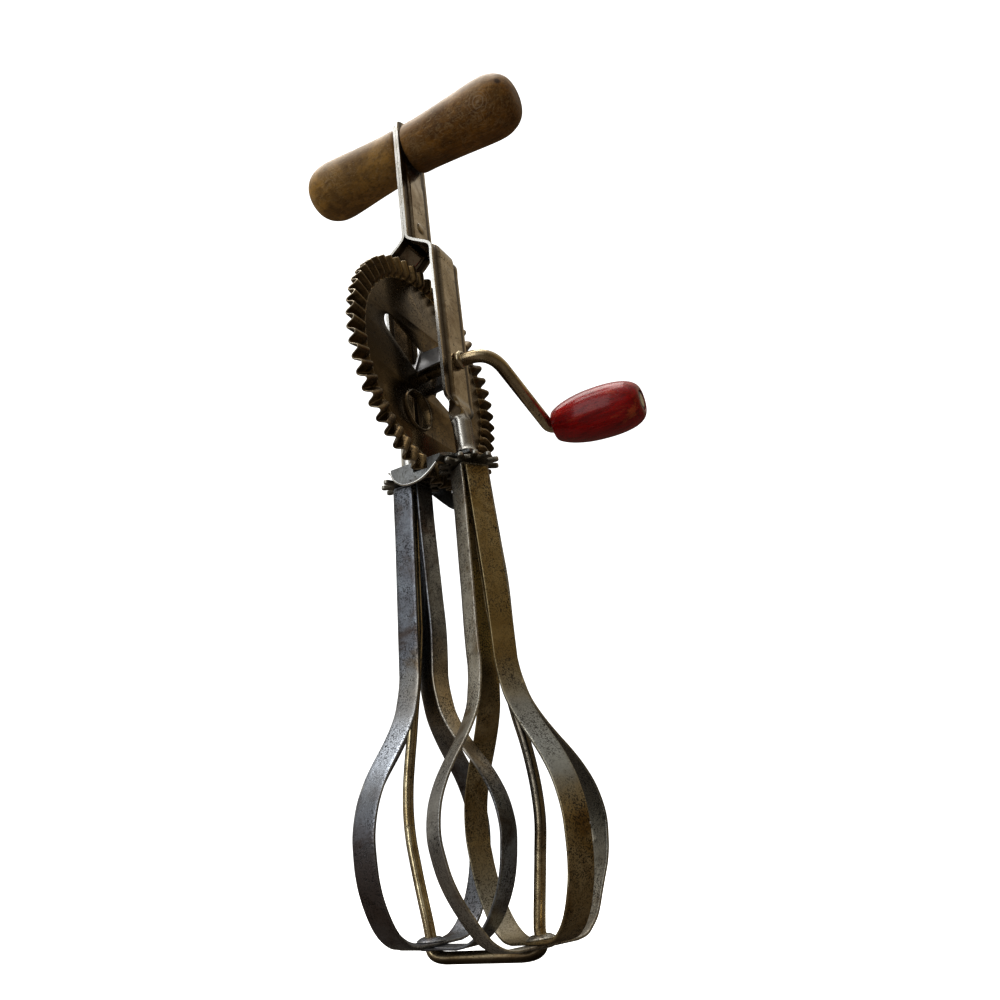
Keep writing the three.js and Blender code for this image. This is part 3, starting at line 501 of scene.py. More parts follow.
right_steel = worn_metal(
    "right_dasher_steel", (0.76, 0.735, 0.67), (0.50, 0.46, 0.39), (0.28, 0.20, 0.11), (0.02, 0.014, 0.009),
    speckle=0.85, rough=(0.26, 0.42), metallic=0.95, rubbed=(0.70, 0.68, 0.62),
    dabs=[
        ((0.0005, -0.0215, -0.236), 0.030, (0.33, 0.33, 0.34), 0.8),
        ((0.0262, 0.0205, -0.232), 0.036, (0.21, 0.21, 0.19), 0.9),
    ],
)
# The right dasher's inner loop is golden all over: partly golden tarnish, partly a painted golden reflection.
golden_steel = worn_metal(
    "golden_dasher_steel", (0.58, 0.475, 0.28), (0.37, 0.26, 0.10), (0.25, 0.145, 0.035),
    (0.02, 0.014, 0.009), speckle=0.85, rough=(0.26, 0.42), metallic=0.9, rubbed=(0.68, 0.60, 0.42),
    dabs=[
        *GOLD_TINT_AND_REFLECTION,
        ((0.0166, -0.0023, -0.178), 0.030, (0.40, 0.31, 0.15), 0.6),
        ((0.0249, -0.0064, -0.214), 0.024, (0.24, 0.24, 0.22), 0.95),
        ((0.0310, -0.0098, -0.225), 0.019, (0.30, 0.31, 0.30), 0.9),
        ((-0.0035, 0.0095, -0.258), 0.024, (0.42, 0.40, 0.34), 0.8),
    ],
)
wire_steel = worn_metal(
    "wire_steel", (0.90, 0.79, 0.54), (0.56, 0.44, 0.25), (0.26, 0.17, 0.07), (0.03, 0.022, 0.015),
    speckle=0.5, rough=(0.12, 0.22), rubbed=(0.9, 0.82, 0.64), bands=[DARK_FOOT],
    dabs=[
        ((0.0165, 0, -0.203), 0.026, (0.10, 0.095, 0.09), 0.9),
        ((0.0185, 0, -0.228), 0.026, (0.15, 0.14, 0.13), 0.85),
    ],
)
crank_steel = worn_metal(
    "crank_steel", (0.66, 0.56, 0.39), (0.44, 0.345, 0.21), (0.26, 0.175, 0.09), (0.06, 0.04, 0.03),
    speckle=0.35, rough=(0.12, 0.24), rubbed=(0.85, 0.78, 0.62),
)


KNOT = (0.0435, -0.0085, -0.0006)
WHORL = (0.0355, -0.0091, -0.0059)
SCRATCHED = (0.56, 0.40, 0.22)


def handle_wood():
    """Aged hardwood: long grain, short scratches, a painted grey sheen on its upper side, a knot and the
    whorl beside it.
    """
    p = Paint("handle_wood", roughness=0.5, Specular_IOR_Level=0.2, Coat_Weight=0.22, Coat_Roughness=0.38,
              Specular_Tint=(1.0, 0.78, 0.45, 1))
    apart = p.calc("ADD", p.near(WHORL, 0.007), p.times(p.noise(300, 3, 0.6), 0.25))
    rings = p.ramp(p.calc("SINE", p.times(apart, 34.0)), (0.35, 0.0), (0.9, 1.0))
    rings = p.times(rings, p.ramp(apart, (0.35, 0.75), (0.95, 0.0)))
    grain = p.noise(2.2, 8, 0.66, p.space((12, 170, 170)), 1.1)
    browns = (0.3, (0.16, 0.066, 0.009)), (0.5, (0.32, 0.145, 0.019)), (0.7, (0.48, 0.235, 0.04))
    color = p.ramp(grain, *browns)
    color = p.mix(p.ramp(p.along((-20, 0, 0)), (0.0, 0.0), (0.12, 0.75)), color, (0.62, 0.36, 0.09))
    pore = p.ramp(p.noise(9, 3, 0.6, p.space((30, 460, 460))), (0.32, 1.0), (0.42, 0.0))
    color = p.mix(p.times(pore, 0.55), color, (0.06, 0.028, 0.010))
    dirt = p.noise(60, 7, 0.7, None, 0.8)
    color = p.mix(p.ramp(dirt, (0.40, 0.65), (0.60, 0.0)), color, (0.085, 0.045, 0.022))
    mottle = p.noise(420, 4, 0.7)
    color = p.mix(p.ramp(mottle, (0.36, 0.5), (0.52, 0.0)), color, (0.085, 0.038, 0.010))
    worn = p.noise(34, 6, 0.65, p.space(shift=(0.4, 0.1, 0.8)))
    color = p.mix(p.ramp(worn, (0.5, 0.0), (0.72, 0.35)), color, (0.46, 0.29, 0.11))
    # Painted sheen: the upper side, towards the top and the front, is mixed towards a light grey.
    top_sheen = p.calc("ADD", p.along((0, -22, 45)), p.times(dirt, 0.3))
    color = p.mix(p.ramp(top_sheen, (0.24, 0.0), (0.68, 0.75)), color, (0.56, 0.46, 0.37))
    scratch = p.noise(9, 3, 0.6, p.space((70, 620, 240), (0.5, 0.3, 0.9)), 0.8)
    scratch = p.ramp(scratch, (0.58, 0.0), (0.68, 0.75))
    color = p.mix(scratch, color, SCRATCHED)
    curls = p.ramp(p.noise(210, 3, 0.55, distort=2.2), (0.46, 0.0), (0.50, 1.0), (0.54, 0.0))
    curled = p.noise(90, 4, 0.6, p.space(shift=(0.2, 0.5, 0.9)))
    curls = p.times(curls, p.ramp(curled, (0.46, 0.0), (0.60, 0.45)))
    color = p.mix(curls, color, SCRATCHED)
    color = p.mix(rings, color, (0.44, 0.31, 0.20))
    knot = p.ramp(p.near(KNOT, 0.002), (0.35, 1.0), (0.8, 0.0))
    color = p.mix(p.times(knot, 0.85), color, (0.035, 0.012, 0.008))
    rough = p.ramp(dirt, (0.3, 0.66), (0.7, 0.44))
    normal = p.bump(pore, 0.25, -0.0002)
    normal = p.bump(grain, 0.22, 0.0005, normal)
    normal = p.bump(scratch, 0.2, -0.0001, normal)
    normal = p.bump(rings, 0.15, -0.0002, normal)
    normal = p.bump(dirt, 0.15, 0.0005, normal)
    return p.finish(color, rough, normal)


def knob_wood():
    """Red painted wood, rubbed through to orange in spots, with the grain showing."""
    p = Paint("knob_wood", roughness=0.34, Specular_IOR_Level=0.2, Coat_Weight=0.6, Coat_Roughness=0.13)
    grain = p.noise(2.0, 7, 0.62, p.space((26, 210, 210)), 0.6)
    reds = (0.3, (0.17, 0.0015, 0.003)), (0.52, (0.40, 0.004, 0.006)), (0.72, (0.58, 0.010, 0.010))
    color = p.ramp(grain, *reds)
    pores = p.ramp(p.noise(7, 3, 0.6, p.space((60, 620, 620))), (0.34, 1.0), (0.44, 0.0))
    color = p.mix(p.times(pores, 0.6), color, (0.09, 0.003, 0.004))
    chips = p.noise(160, 6, 0.75, p.space((0.4, 1.4, 1.4), shift=(0.2, 0.6, 0.3)))
    patchy = p.ramp(p.noise(55, 3, 0.5, p.space(shift=(0.7, 0.1, 0.2))), (0.45, 0.0), (0.62, 1.0))
    chipped = p.times(p.ramp(chips, (0.53, 0.0), (0.61, 0.6)), patchy)
    color = p.mix(chipped, color, (0.68, 0.16, 0.04))
    rough = p.ramp(grain, (0.3, 0.42), (0.7, 0.26))
    normal = p.bump(pores, 0.3, -0.0002)
    normal = p.bump(grain, 0.18, 0.0004, normal)
    normal = p.bump(chipped, 0.3, -0.00015, normal)
    return p.finish(color, rough, normal)


handle_paint = handle_wood()
knob_paint = knob_wood()

# ---- frame straps ----

STRAP_HALF_WIDTH = 8.2
STRAP_COLUMNS = 64
STRAP_HALF_SHEET = 0.5
RIB = 0.9
CREST_RADIUS = 11.2
ROLL_RADIUS = 2.6
# What stays open along the rolled tube, and how far the tube flares at its foot.
SEAM = 0.12
FLARE = 0.35
# Heights and offsets of the shoulder where each strap leaves the neck.
SHOULDER = [(228.4, 0.55), (227.0, 0.6), (225.9, 1.05), (224.4, 2.6), (222.0, 5.9), (219.9, 8.7),
            (218.7, 9.6), (217.2, 9.85), (214, 9.7)]
SHOULDER_FINE = [(p[0], p[1]) for p in smooth_curve([(z, x, 0) for z, x in SHOULDER], 64)]
# Half-width of the flat tongue that is left between the rolled sides, by height.
TONGUE = [(162.3, 8.2), (160.4, 7.7), (158.9, 6.9), (157.9, 5.7), (157.1, 4.3), (156.3, 2.6), (155.6, 1.1),
          (155.0, 0.3), (154.6, 0.0)]


def dasher_x(z):
    """How far a dasher's axis is from the middle at a height."""
    return DASHER_OFFSET + SPREAD * (PINION_Z - z) / DROP


def strap_line(z):
    """How far a strap stands out from the middle at a height."""
    if z >= SHOULDER[0][0]:
        flat = SHOULDER[0][1]
    elif z <= SHOULDER[-1][0]:
        flat = SHOULDER[-1][1]
    else:
        flat = 0.0
        for (z1, x1), (z2, x2) in zip(SHOULDER_FINE, SHOULDER_FINE[1:]):
            if z2 <= z <= z1:
                flat = x1 + (x2 - x1) * (z1 - z) / (z1 - z2)
                break
    out = ease(-z, -161.5, -151.8)
    return flat + (dasher_x(z) + ROLL_RADIUS - flat) * out


def tongue(z, width):
    if z >= TONGUE[0][0]:
        return width
    for (z1, w1), (z2, w2) in zip(TONGUE, TONGUE[1:]):
        if z >= z2:
            return w2 + (w1 - w2) * (z - z2) / (z1 - z2)
    return 0.0


def stations():
    """Heights at which a strap is cut, closest together where its shape changes."""
    crest = [283.15 - 0.55 * n * n / 9 for n in range(10)]
    neck = [277.4 - n * 3.2 for n in range(1, 15)]
    shoulder = [229.5 - n * 0.35 for n in range(46)]
    flat = [212.5 - n * 4 for n in range(12)]
    roll = [165.6 - n * 0.3 for n in range(48)]
    foot = [150.8, 149, 146, 144, 142.8, 142.4, 142.0, 141.75, 141.6]
    heights = crest + neck + shoulder + flat + roll + foot
    return sorted(set(round(h, 3) for h in heights), reverse=True)


def strap(side):
    """A ribbed flat strap with a round crest, whose foot is rolled up into a tube."""
    heights = stations()
    lines = [strap_line(z) for z in heights]
    rings = []
    for i, z in enumerate(heights):
        line = lines[i]
        a, b = max(i - 1, 0), min(i + 1, len(heights) - 1)
        lean = math.atan2(lines[b] - lines[a], heights[a] - heights[b])
        if i in (0, len(heights) - 1):
            lean = 0
        width = STRAP_HALF_WIDTH
        if z > GRIP:
            width = min(width, math.sqrt(max(CREST_RADIUS**2 - (z - GRIP) ** 2, 0.04)))
        shut = ease(-z, -162.3, -153.6)
        half = width + (math.pi * ROLL_RADIUS - SEAM - width) * shut
        flat = tongue(z, width)
        # The rolled sides follow the tongue's width, or the strap bulges beside the tube.
        half = min(half, flat + max(0.8, 6.3 - 0.9 * flat) + 2 * ease(-z, -154.4, -152.8))
        rib = RIB * (1 - ease(-z, -158.5, -155.0)) * (1 - ease(z, 253, 261))
        flare = FLARE * ease(-z, -142.9, -141.7)
        radius = ROLL_RADIUS + flare
        faces = [[], []]
        for n in range(STRAP_COLUMNS + 1):
            share = 2 * n / STRAP_COLUMNS - 1
            along = abs(share) * half
            turn = max(along - flat, 0) / radius
            reach = min(along, flat) + radius * math.sin(turn)
            sag = radius * (1 - math.cos(turn)) - flare
            hand = 1 if share > 0 else -1
            rise = ease(-abs(share), -0.64, -0.50) * rib - sag
            for face, skin_side in ((0, STRAP_HALF_SHEET), (1, -STRAP_HALF_SHEET)):
                out = rise + skin_side * math.cos(turn)
                faces[face].append((
                    side * (line + out * math.cos(lean)),
                    hand * (reach + skin_side * math.sin(turn)),
                    z + out * math.sin(lean),
                ))
        rings.append(faces[0] + faces[1][::-1])
    return skin(rings)


# A ring has both faces of the sheet; the two quads that join them lie on its cut edges.
STRAP_RING = 2 * (STRAP_COLUMNS + 1)
STRAP_SIDES = (STRAP_COLUMNS, STRAP_RING - 1)

for strap_name, strap_side in (("front_strap", 1), ("rear_strap", -1)):
    strap_shape = strap(strap_side)
    cut_edges = [i for i in range(len(strap_shape[1]) - 2) if i % STRAP_RING in STRAP_SIDES]
    piece(strap_name + "_fine", strap_shape, strap_steel, "frame", strap_name, bevel=0.2, sharp=50,
          edge_paint=edge_steel, edge_faces=cut_edges)

# ---- handle ----

HANDLE_RADIUS = 11.05
# Half the thickness of the neck between the two halves.
NECK_HALF = 1.05
# Shares of a half's length and radius, from the neck out.
HANDLE = [(0, 0.74), (0.004, 0.79), (0.02, 0.83), (0.14, 0.85), (0.3, 0.885), (0.45, 0.925), (0.6, 0.97),
          (0.74, 1), (0.82, 0.98), (0.88, 0.91), (0.93, 0.8), (0.97, 0.63), (0.995, 0.36), (1, 0.0)]


def handle_half(side, gap, length, tilt):
    """One half of the grip, tilted by some degrees as in the photo."""
    inner = NECK_HALF + gap
    outline = smooth_curve([(HANDLE_RADIUS * r, inner + (length - inner) * a, 0) for a, r in HANDLE], 90)
    points = [(0, inner)] + [(max(p.x, 0), p.y) for p in outline]
    turn = Matrix.Translation((0, 0, GRIP)) @ Matrix.Rotation(math.radians(tilt) + side * math.pi / 2, 4, "Y")
    return moved(turned(points, 96), turn)


piece("front_handle_fine", handle_half(1, 0.9, 46.4, 1.5), handle_paint, "frame", "front_handle")
piece("rear_handle_fine", handle_half(-1, 0.1, 44.2, 0.35), handle_paint, "frame", "rear_handle")

# ---- neck rivet ----

RIVET_Z = 234.5
rivet = [(0, -2.45), (1.2, -2.4), (1.9, -2.25), (2.2, -2.02), (2.2, -1.9), (1.2, -1.9),
         (1.2, 1.9), (2.2, 1.9), (2.2, 2.02), (1.9, 2.25), (1.2, 2.4), (0, 2.45)]
rivet_place = Matrix.Translation((0, 0, RIVET_Z)) @ Matrix.Rotation(math.pi / 2, 4, "Y")
piece("neck_rivet_fine", moved(turned(rivet, 40), rivet_place), frame_steel, "frame", "neck_rivet")

# ---- drive wheel ----

TEETH = 52
STEPS_PER_TOOTH = 16
SETBACK = 0.9
WHEEL_SHEET = 0.6
WAVE = 1.6
DISC_RADIUS = 33.5
AXLE_HOLE = 2.3
PATTERN = math.radians(155)
WINDOW_INNER = 5.2
WINDOW_OUTER = 21.5
WINDOW_FOOT = 5.5
WINDOW_TIP = 3.7
# The second lipped hole is turned to where the front strap hides it, as the photo shows only one.
LIPPED_HOLES = [math.radians(245), math.radians(28)]
HOLE_OFFSET = 19.2
HOLE_RADIUS = 6.9
LIP = [(7.2, 0.29), (7.02, 0.42), (6.95, 0.75), (6.8, 0.9), (6.6, 0.9), (6.45, 0.78), (6.4, 0.4), (6.4, -2.2),
       (6.5, -2.42), (6.8, -2.42), (6.92, -2.3), (6.95, -0.28)]
# Radii of the rim with the share of the wave's depth, and the share of the sheet's thickness at each.
RIM = [(33.3, 0.0), (33.7, 0.05), (34.1, 0.22), (34.5, 0.55), (34.9, 0.84), (35.3, 0.96), (35.8, 1),
       (37.5, 1), (39.0, 0.99), (40.3, 0.95), (40.65, 0.93), (40.8, 0.92)]
RIM_THIN = [1, 1, 1, 1, 1, 1, 1, 1, 1, 1, 0.8, 0.35]
# How much of the disc's setback the rim gives back.
RIM_RETURN = 0.25
# The wave is a little squarer than a sine.
SQUARE = 0.06


def wheel_rim():
    """The pressed rim, whose wave works as the teeth on both faces."""
    rings = []
    steps = TEETH * STEPS_PER_TOOTH
    half_sheet = WHEEL_SHEET / 2
    for i in range(steps):
        angle = 2 * math.pi * i / steps
        phase = (angle + math.pi / 2) * TEETH + math.pi
        wave = math.cos(phase) - SQUARE * math.cos(3 * phase)
        slope = math.sin(phase) - 3 * SQUARE * math.sin(3 * phase)
        faces = [[], []]
        for (radius, share), thin in zip(RIM, RIM_THIN):
            depth = WAVE * share
            lean = math.atan(slope * depth * TEETH / radius)
            for face, half in ((0, half_sheet), (1, -half_sheet)):
                half *= thin
                turn = angle - half * math.sin(lean) / radius
                out = half * math.cos(lean) - depth * wave + SETBACK * RIM_RETURN * share
                faces[face].append((radius * math.cos(turn), radius * math.sin(turn), out))
        rings.append(faces[0] + faces[1][::-1])
    return skin(rings, closed=True)


def window_loop(turn):
    points = [(WINDOW_INNER, -WINDOW_FOOT)]
    points += arc(WINDOW_OUTER, 0, WINDOW_TIP, -math.pi / 2, math.pi / 2, 14)
    points += [(WINDOW_INNER, WINDOW_FOOT)]
    return [tuple((Matrix.Rotation(turn, 2) @ Vector(p))) for p in points]


def on_wheel(shape):
    basis = Matrix(((0, 0, 1, -SETBACK), (1, 0, 0, 0), (0, 1, 0, WHEEL_Z), (0, 0, 0, 1)))
    return moved(shape, basis)


def wheel():
    """The disc with its windows and its two lipped holes."""
    loops = [circle(DISC_RADIUS, count=240), circle(AXLE_HOLE, count=32)]
    loops += [window_loop(t) for t in (PATTERN, PATTERN + math.pi)]
    lips = []
    for t in LIPPED_HOLES:
        c = Vector((HOLE_OFFSET * math.cos(t), HOLE_OFFSET * math.sin(t)))
        loops.append(circle(HOLE_RADIUS, c.x, c.y, 56))
        lips.append(moved(turned(LIP, 64), Matrix.Translation((c.x, c.y, 0))))
    return on_wheel(joined(cut_sheet(loops, WHEEL_SHEET, 0.08), *lips))


piece("drive_wheel_fine", wheel(), wheel_steel, "crank", "drive_wheel", sharp=55)
rim_shape = on_wheel(wheel_rim())
rim_ends = (len(RIM) - 2, len(RIM) - 1, len(RIM))
rim_cut = [i for i in range(len(rim_shape[1])) if i % (2 * len(RIM)) in rim_ends]
piece("drive_wheel_rim", rim_shape, rim_steel, "crank", sharp=55, edge_paint=rim_edge_steel,
      edge_faces=rim_cut)

TAB_HALF_SHEET = 0.3
TAB_ROOT = 6.2
TAB_BEND = 4.9
TAB_HALF_WIDTH = 5.5
TAB_TAPER = 1.8
TAB_ROUND = 2.4
# Shares of the half thickness and of the half width round a tongue's section.
TAB_SECTION = [(1, -0.97), (0.6, -1), (-0.6, -1), (-1, -0.97), (-1, 0.97), (-0.6, 1), (0.6, 1), (1, 0.97)]


def tab(turn, height, reach):
    """A tongue folded up out of a window and over the axle."""
    corners = [(TAB_ROOT, 0, 0), (TAB_BEND, 0, 0), (TAB_BEND, 0, height), (-reach, 0, height)]
    path = dense(rounded_path(corners, [0.9, 1.3], 6), 0.8)
    length = sum((b - a).length for a, b in zip(path, path[1:]))
    rings = []
    done = 0
    for i, point in enumerate(path):
        if i:
            done += (point - path[i - 1]).length
        along = (path[min(i + 1, len(path) - 1)] - path[max(i - 1, 0)]).normalized()
        normal = Vector((-along.z, 0, along.x)) * TAB_HALF_SHEET
        half = TAB_HALF_WIDTH - TAB_TAPER * done / length
        left = length - done
        if left < TAB_ROUND:
            half -= TAB_ROUND - math.sqrt(max(TAB_ROUND**2 - (TAB_ROUND - left) ** 2, 0.01))
        rings.append([point + normal * a + Vector((0, half * b, 0)) for a, b in TAB_SECTION])
    return on_wheel(moved(skin(rings), Matrix.Rotation(turn, 4, "Z")))


tabs = joined(tab(PATTERN, 9.4, 4.6), tab(PATTERN + math.pi, 8.7, 4.6))
piece("hub_tabs", tabs, hub_steel, "crank", "hub_bracket", sharp=50)

# ---- axle fittings ----


def on_axle(shape):
    return moved(shape, Matrix.Translation((0, 0, WHEEL_Z)) @ Matrix.Rotation(math.pi / 2, 4, "Y"))


back = [(2.25, -8.75), (4.3, -8.75), (4.6, -8.5), (4.6, -1.6), (4.4, -1.32), (2.25, -1.32)]
piece("hub_back_fine", on_axle(turned(back, 56)), hub_steel, "crank", "hub_back")
collar = [(2.2, 11.5), (2.9, 11.5), (3.1, 11.75), (3.1, 12.4), (2.95, 12.9), (2.6, 13.2), (2.2, 13.3)]
piece("axle_collar_fine", on_axle(turned(collar, 56)), crank_steel, "crank", "axle_collar")
head = [(2.2, -13.25), (2.7, -13.2), (3.0, -12.95), (3.1, -12.6), (3.1, -11.7), (2.9, -11.52), (2.2, -11.52)]
piece("axle_head_fine", on_axle(turned(head, 56)), frame_steel, "crank", "axle_head")

# ---- crank and knob ----

CRANK_RADIUS = 2.15
CRANK_THROW = 37.7
CRANK_START = -13.6
# The elbow hangs a little below the axle.
ELBOW_REACH = 22.8
ELBOW_SAG = 0.6
KNOB_LEAN = math.radians(3.5)
crank_turn = math.radians(-25.7)
throw = Vector((0, math.cos(crank_turn), math.sin(crank_turn)))
spindle = Vector((1, 0, 0)) * math.cos(KNOB_LEAN) + throw * math.sin(KNOB_LEAN)
elbow = Vector((ELBOW_REACH, 0, WHEEL_Z - ELBOW_SAG))
knob_foot = Vector((24.2, 0, WHEEL_Z)) + throw * CRANK_THROW + spindle * 3.5
wrist = knob_foot - spindle * 2.2
crank_path = rounded_path(
    [Vector((CRANK_START, 0, WHEEL_Z)), elbow, wrist, knob_foot + spindle * 31.1], [8.5, 2.4], 20)
crank_shape = tube(dense(crank_path, 2.5), CRANK_RADIUS, 36)
piece("crank_wire_fine", crank_shape, crank_steel, "crank", "crank_wire")


def on_spindle(shape):
    turn = Vector((0, 0, 1)).rotation_difference(spindle).to_matrix().to_4x4()
    return moved(shape, Matrix.Translation(knob_foot) @ turn)


KNOB_RADIUS = 8.9
KNOB_LENGTH = 31.2
# Shares of the knob's length and radius, from the crank out.
KNOB = [(0, 0.52), (0.006, 0.58), (0.02, 0.62), (0.1, 0.755), (0.22, 0.88), (0.36, 0.965), (0.52, 1),
        (0.66, 0.995), (0.78, 0.95), (0.87, 0.875), (0.93, 0.78), (0.97, 0.67), (0.99, 0.57), (1, 0.48)]
# The recess for the washer.
KNOB_END = [(3.7, 31.2), (3.5, 31.1), (3.4, 30.9), (3.4, 30.1), (2.4, 30.0)]
knob_outline = smooth_curve([(KNOB_RADIUS * r, KNOB_LENGTH * a, 0) for a, r in KNOB], 80)
knob_points = [(2.4, 0)] + [(p.x, p.y) for p in knob_outline] + KNOB_END
piece("knob_fine", on_spindle(turned(knob_points, 96)), knob_paint, "knob", "knob")
washer = [(2.2, 30.3), (3.0, 30.3), (3.15, 30.45), (3.1, 30.8), (2.6, 31.05), (2.2, 31.1)]
piece("knob_rivet_fine", on_spindle(turned(washer, 48)), hub_steel, "crank", "knob_rivet")

# ---- dashers ----

LOOP_LAYER = 0.9
FOLD_TOP = -1.0
FOOT_Z = 6
SHANK_FOOT_Z = 76
SHANK_X = 4.5
BULB_RADIUS = 25.4
# A bend fades out within this distance of the dasher's axis.
BEND_FADE = 4
# Shares of the way from the shank down to the foot, and of the bulb's radius.
BULB = [(0, 0.18), (0.05, 0.2), (0.1, 0.235), (0.15, 0.28), (0.2, 0.355), (0.25, 0.45), (0.3, 0.56),
        (0.36, 0.7), (0.42, 0.82), (0.5, 0.935), (0.6, 1), (0.68, 0.99), (0.75, 0.96), (0.81, 0.91),
        (0.87, 0.83), (0.92, 0.74), (0.96, 0.63), (0.99, 0.49), (1, 0.36)]


def on_dasher(shape, side):
    place = Matrix.Translation((side * DASHER_OFFSET, 0, PINION_Z)) @ Matrix.Rotation(-side * LEAN, 4, "Y")
    return moved(shape, place)


# How far each wing is bent out of true, by height over the foot; keys are the dasher, the layer and the side.
BENDS = {
    ("left", 0, 1): [(0, 1.5), (30, 1.5), (50, 1.8), (66, 2.6), (82, 3.1), (95, 2.3), (131, 0.3)],
    ("left", 0, -1): [(0, -1.5), (60, -1.5), (131, 0)],
    ("left", 1, 1): [(0, 0), (131, 0)],
    ("left", 1, -1): [(0, -0.3), (25, 0), (50, 0.3), (131, 0)],
    ("right", 0, 1): [(0, -0.6), (2, -1.6), (4, -2.1), (7, -2.8), (10, -3.1), (13, -3.0), (16, -2.5),
                      (20, -2.0), (28, -1.4), (38, -1.1), (60, -1.0), (78, -0.3), (92, 0.5), (105, 0.3),
                      (131, 0)],
    ("right", 0, -1): [(0, -0.5), (6, -1.4), (12, -1.2), (20, -0.3), (34, 0.8), (50, 1.8), (70, 3.1),
                       (95, 1.7), (131, 0)],
    ("right", 1, 1): [(0, 0), (20, 0.3), (40, 1.2), (58, 2.0), (75, 2.4), (100, 1.2), (131, 0)],
    ("right", 1, -1): [(0, -0.8), (60, -0.7), (88, 0.3), (105, 0.2), (131, 0)],
}
# How far the foot of each dasher hangs below its place in the CAD.
FOOT_DROP = {"left": 0.8, "right": 2.2}
# The drop grows from nothing to its full size between these heights.
DROP_FROM = 110
DROP_FULL = 20


def bent(table, height):
    """A smooth curve through the table, with slopes taken from the neighbours on both sides."""
    last = len(table) - 1
    slopes = [0.0]
    for (h0, e0), (h1, e1) in zip(table, table[2:]):
        slopes.append((e1 - e0) / (h1 - h0))
    slopes.append(0.0)
    for i in range(last):
        (h0, e0), (h1, e1) = table[i], table[i + 1]
        if height <= h1:
            span = h1 - h0
            t = max(height - h0, 0) / span
            return blend(e0, slopes[i] * span, e1, slopes[i + 1] * span, t)
    return table[-1][1]


def settled(shape, drop):
    """The feet hang a little lower than in the CAD; the shanks keep their place."""
    verts, faces = shape
    return [(x, y, z - drop * ease(-z, -DROP_FROM, -DROP_FULL)) for x, y, z in verts], faces


def loop_side(layer, table):
    """Half of a loop, from the fold under the pinion down the shank and the bulb to the foot."""
    top = FOLD_TOP - layer * LOOP_LAYER
    foot = FOOT_Z - PINION_Z + layer * LOOP_LAYER
    shank_foot = SHANK_FOOT_Z - PINION_Z
    fold = rounded_path([(0, 0, top), (SHANK_X, 0, top), (SHANK_X, 0, shank_foot)], [0.9], 6)[:-1]
    bulb = [(max(r * BULB_RADIUS, SHANK_X), 0, shank_foot + (foot - shank_foot) * a) for a, r in BULB]
    path = dense(fold + smooth_curve(bulb, 72) + [Vector((0, 0, foot))], 1.6)
    for point in path:
        point.x += bent(table, point.z + PINION_Z - FOOT_Z) * min(point.x / BEND_FADE, 1)
    return path


# Places across the strap and through its sheet, round the section.
SECTION = [(-3.7, -0.15), (-3.62, -0.33), (-3.4, -0.4), (-2.4, -0.4), (0, -0.4), (2.4, -0.4), (3.4, -0.4),
           (3.62, -0.33), (3.7, -0.15), (3.7, 0.15), (3.62, 0.33), (3.4, 0.4), (2.4, 0.4), (0, 0.4),
           (-2.4, 0.4), (-3.4, 0.4), (-3.62, 0.33), (-3.7, 0.15)]


def loop(name, side, layer, angle):
    half = loop_side(layer, BENDS[name, layer, 1])
    other = loop_side(layer, BENDS[name, layer, -1])
    back = [Vector((-p.x, 0, p.z)) for p in reversed(other[1:-1])]
    path = half + back
    rings = []
    for i, point in enumerate(path):
        along = (path[(i + 1) % len(path)] - path[i - 1]).normalized()
        normal = Vector((-along.z, 0, along.x))
        rings.append([point + normal * t + Vector((0, w, 0)) for w, t in SECTION])
    made = skin(rings, closed=True)
    return on_dasher(moved(made, Matrix.Rotation(math.radians(angle + 90 * layer), 4, "Z")), side)


PINION_TEETH = 12
GAP_RADIUS = 6.35
ROOT_RADIUS = 6.6
TIP_CENTRE = 8.8
TOOTH_HALF_WIDTH = 0.95
PINION_SHEET = 1.3
PINION_HUB = [(1.9, -3.0), (3.2, -3.0), (3.3, -2.8), (3.3, -2.45), (2.5, -2.4), (2.5, 0.3), (3.3, 0.4),
              (3.3, 2.5), (3.1, 2.7), (1.9, 2.7)]


def around(radius, turn):
    return radius * math.cos(turn), radius * math.sin(turn)


def star(phase):
    """The outline of the pinion's round-tipped teeth."""
    points = []
    root = math.asin(TOOTH_HALF_WIDTH / ROOT_RADIUS)
    gap = math.pi / PINION_TEETH
    quarter = math.pi / 2
    for i in range(PINION_TEETH):
        turn = phase + 2 * math.pi * i / PINION_TEETH
        points.append(around(GAP_RADIUS, turn - gap))
        points.append(around(ROOT_RADIUS, turn - root))
        points += arc(*around(TIP_CENTRE, turn), TOOTH_HALF_WIDTH, turn - quarter, turn + quarter, 8)
        points.append(around(ROOT_RADIUS, turn + root))
    return points


def pinion(side):
    """The right star has a gap towards the wheel and the left one a tooth, as the wave has two sides."""
    phase = math.pi / PINION_TEETH if side > 0 else math.pi
    plate = cut_sheet([star(phase), circle(2.2, count=32)], PINION_SHEET, 0.3)
    return on_dasher(joined(plate, turned(PINION_HUB, 48)), side)


def eyelet(side):
    low = FOOT_Z - PINION_Z - 0.4
    high = low + 1.72
    ring = [(1.9, low - 0.25), (2.7, low - 0.25), (2.95, low - 0.15), (2.95, low - 0.03), (2.5, low),
            (2.5, high), (3.75, high + 0.03), (3.85, high + 0.2), (3.7, high + 0.42), (3.2, high + 0.75),
            (2.7, high + 1.0), (2.35, high + 1.12), (2.1, high + 1.1), (1.9, high + 0.95)]
    return on_dasher(turned(ring, 48), side)


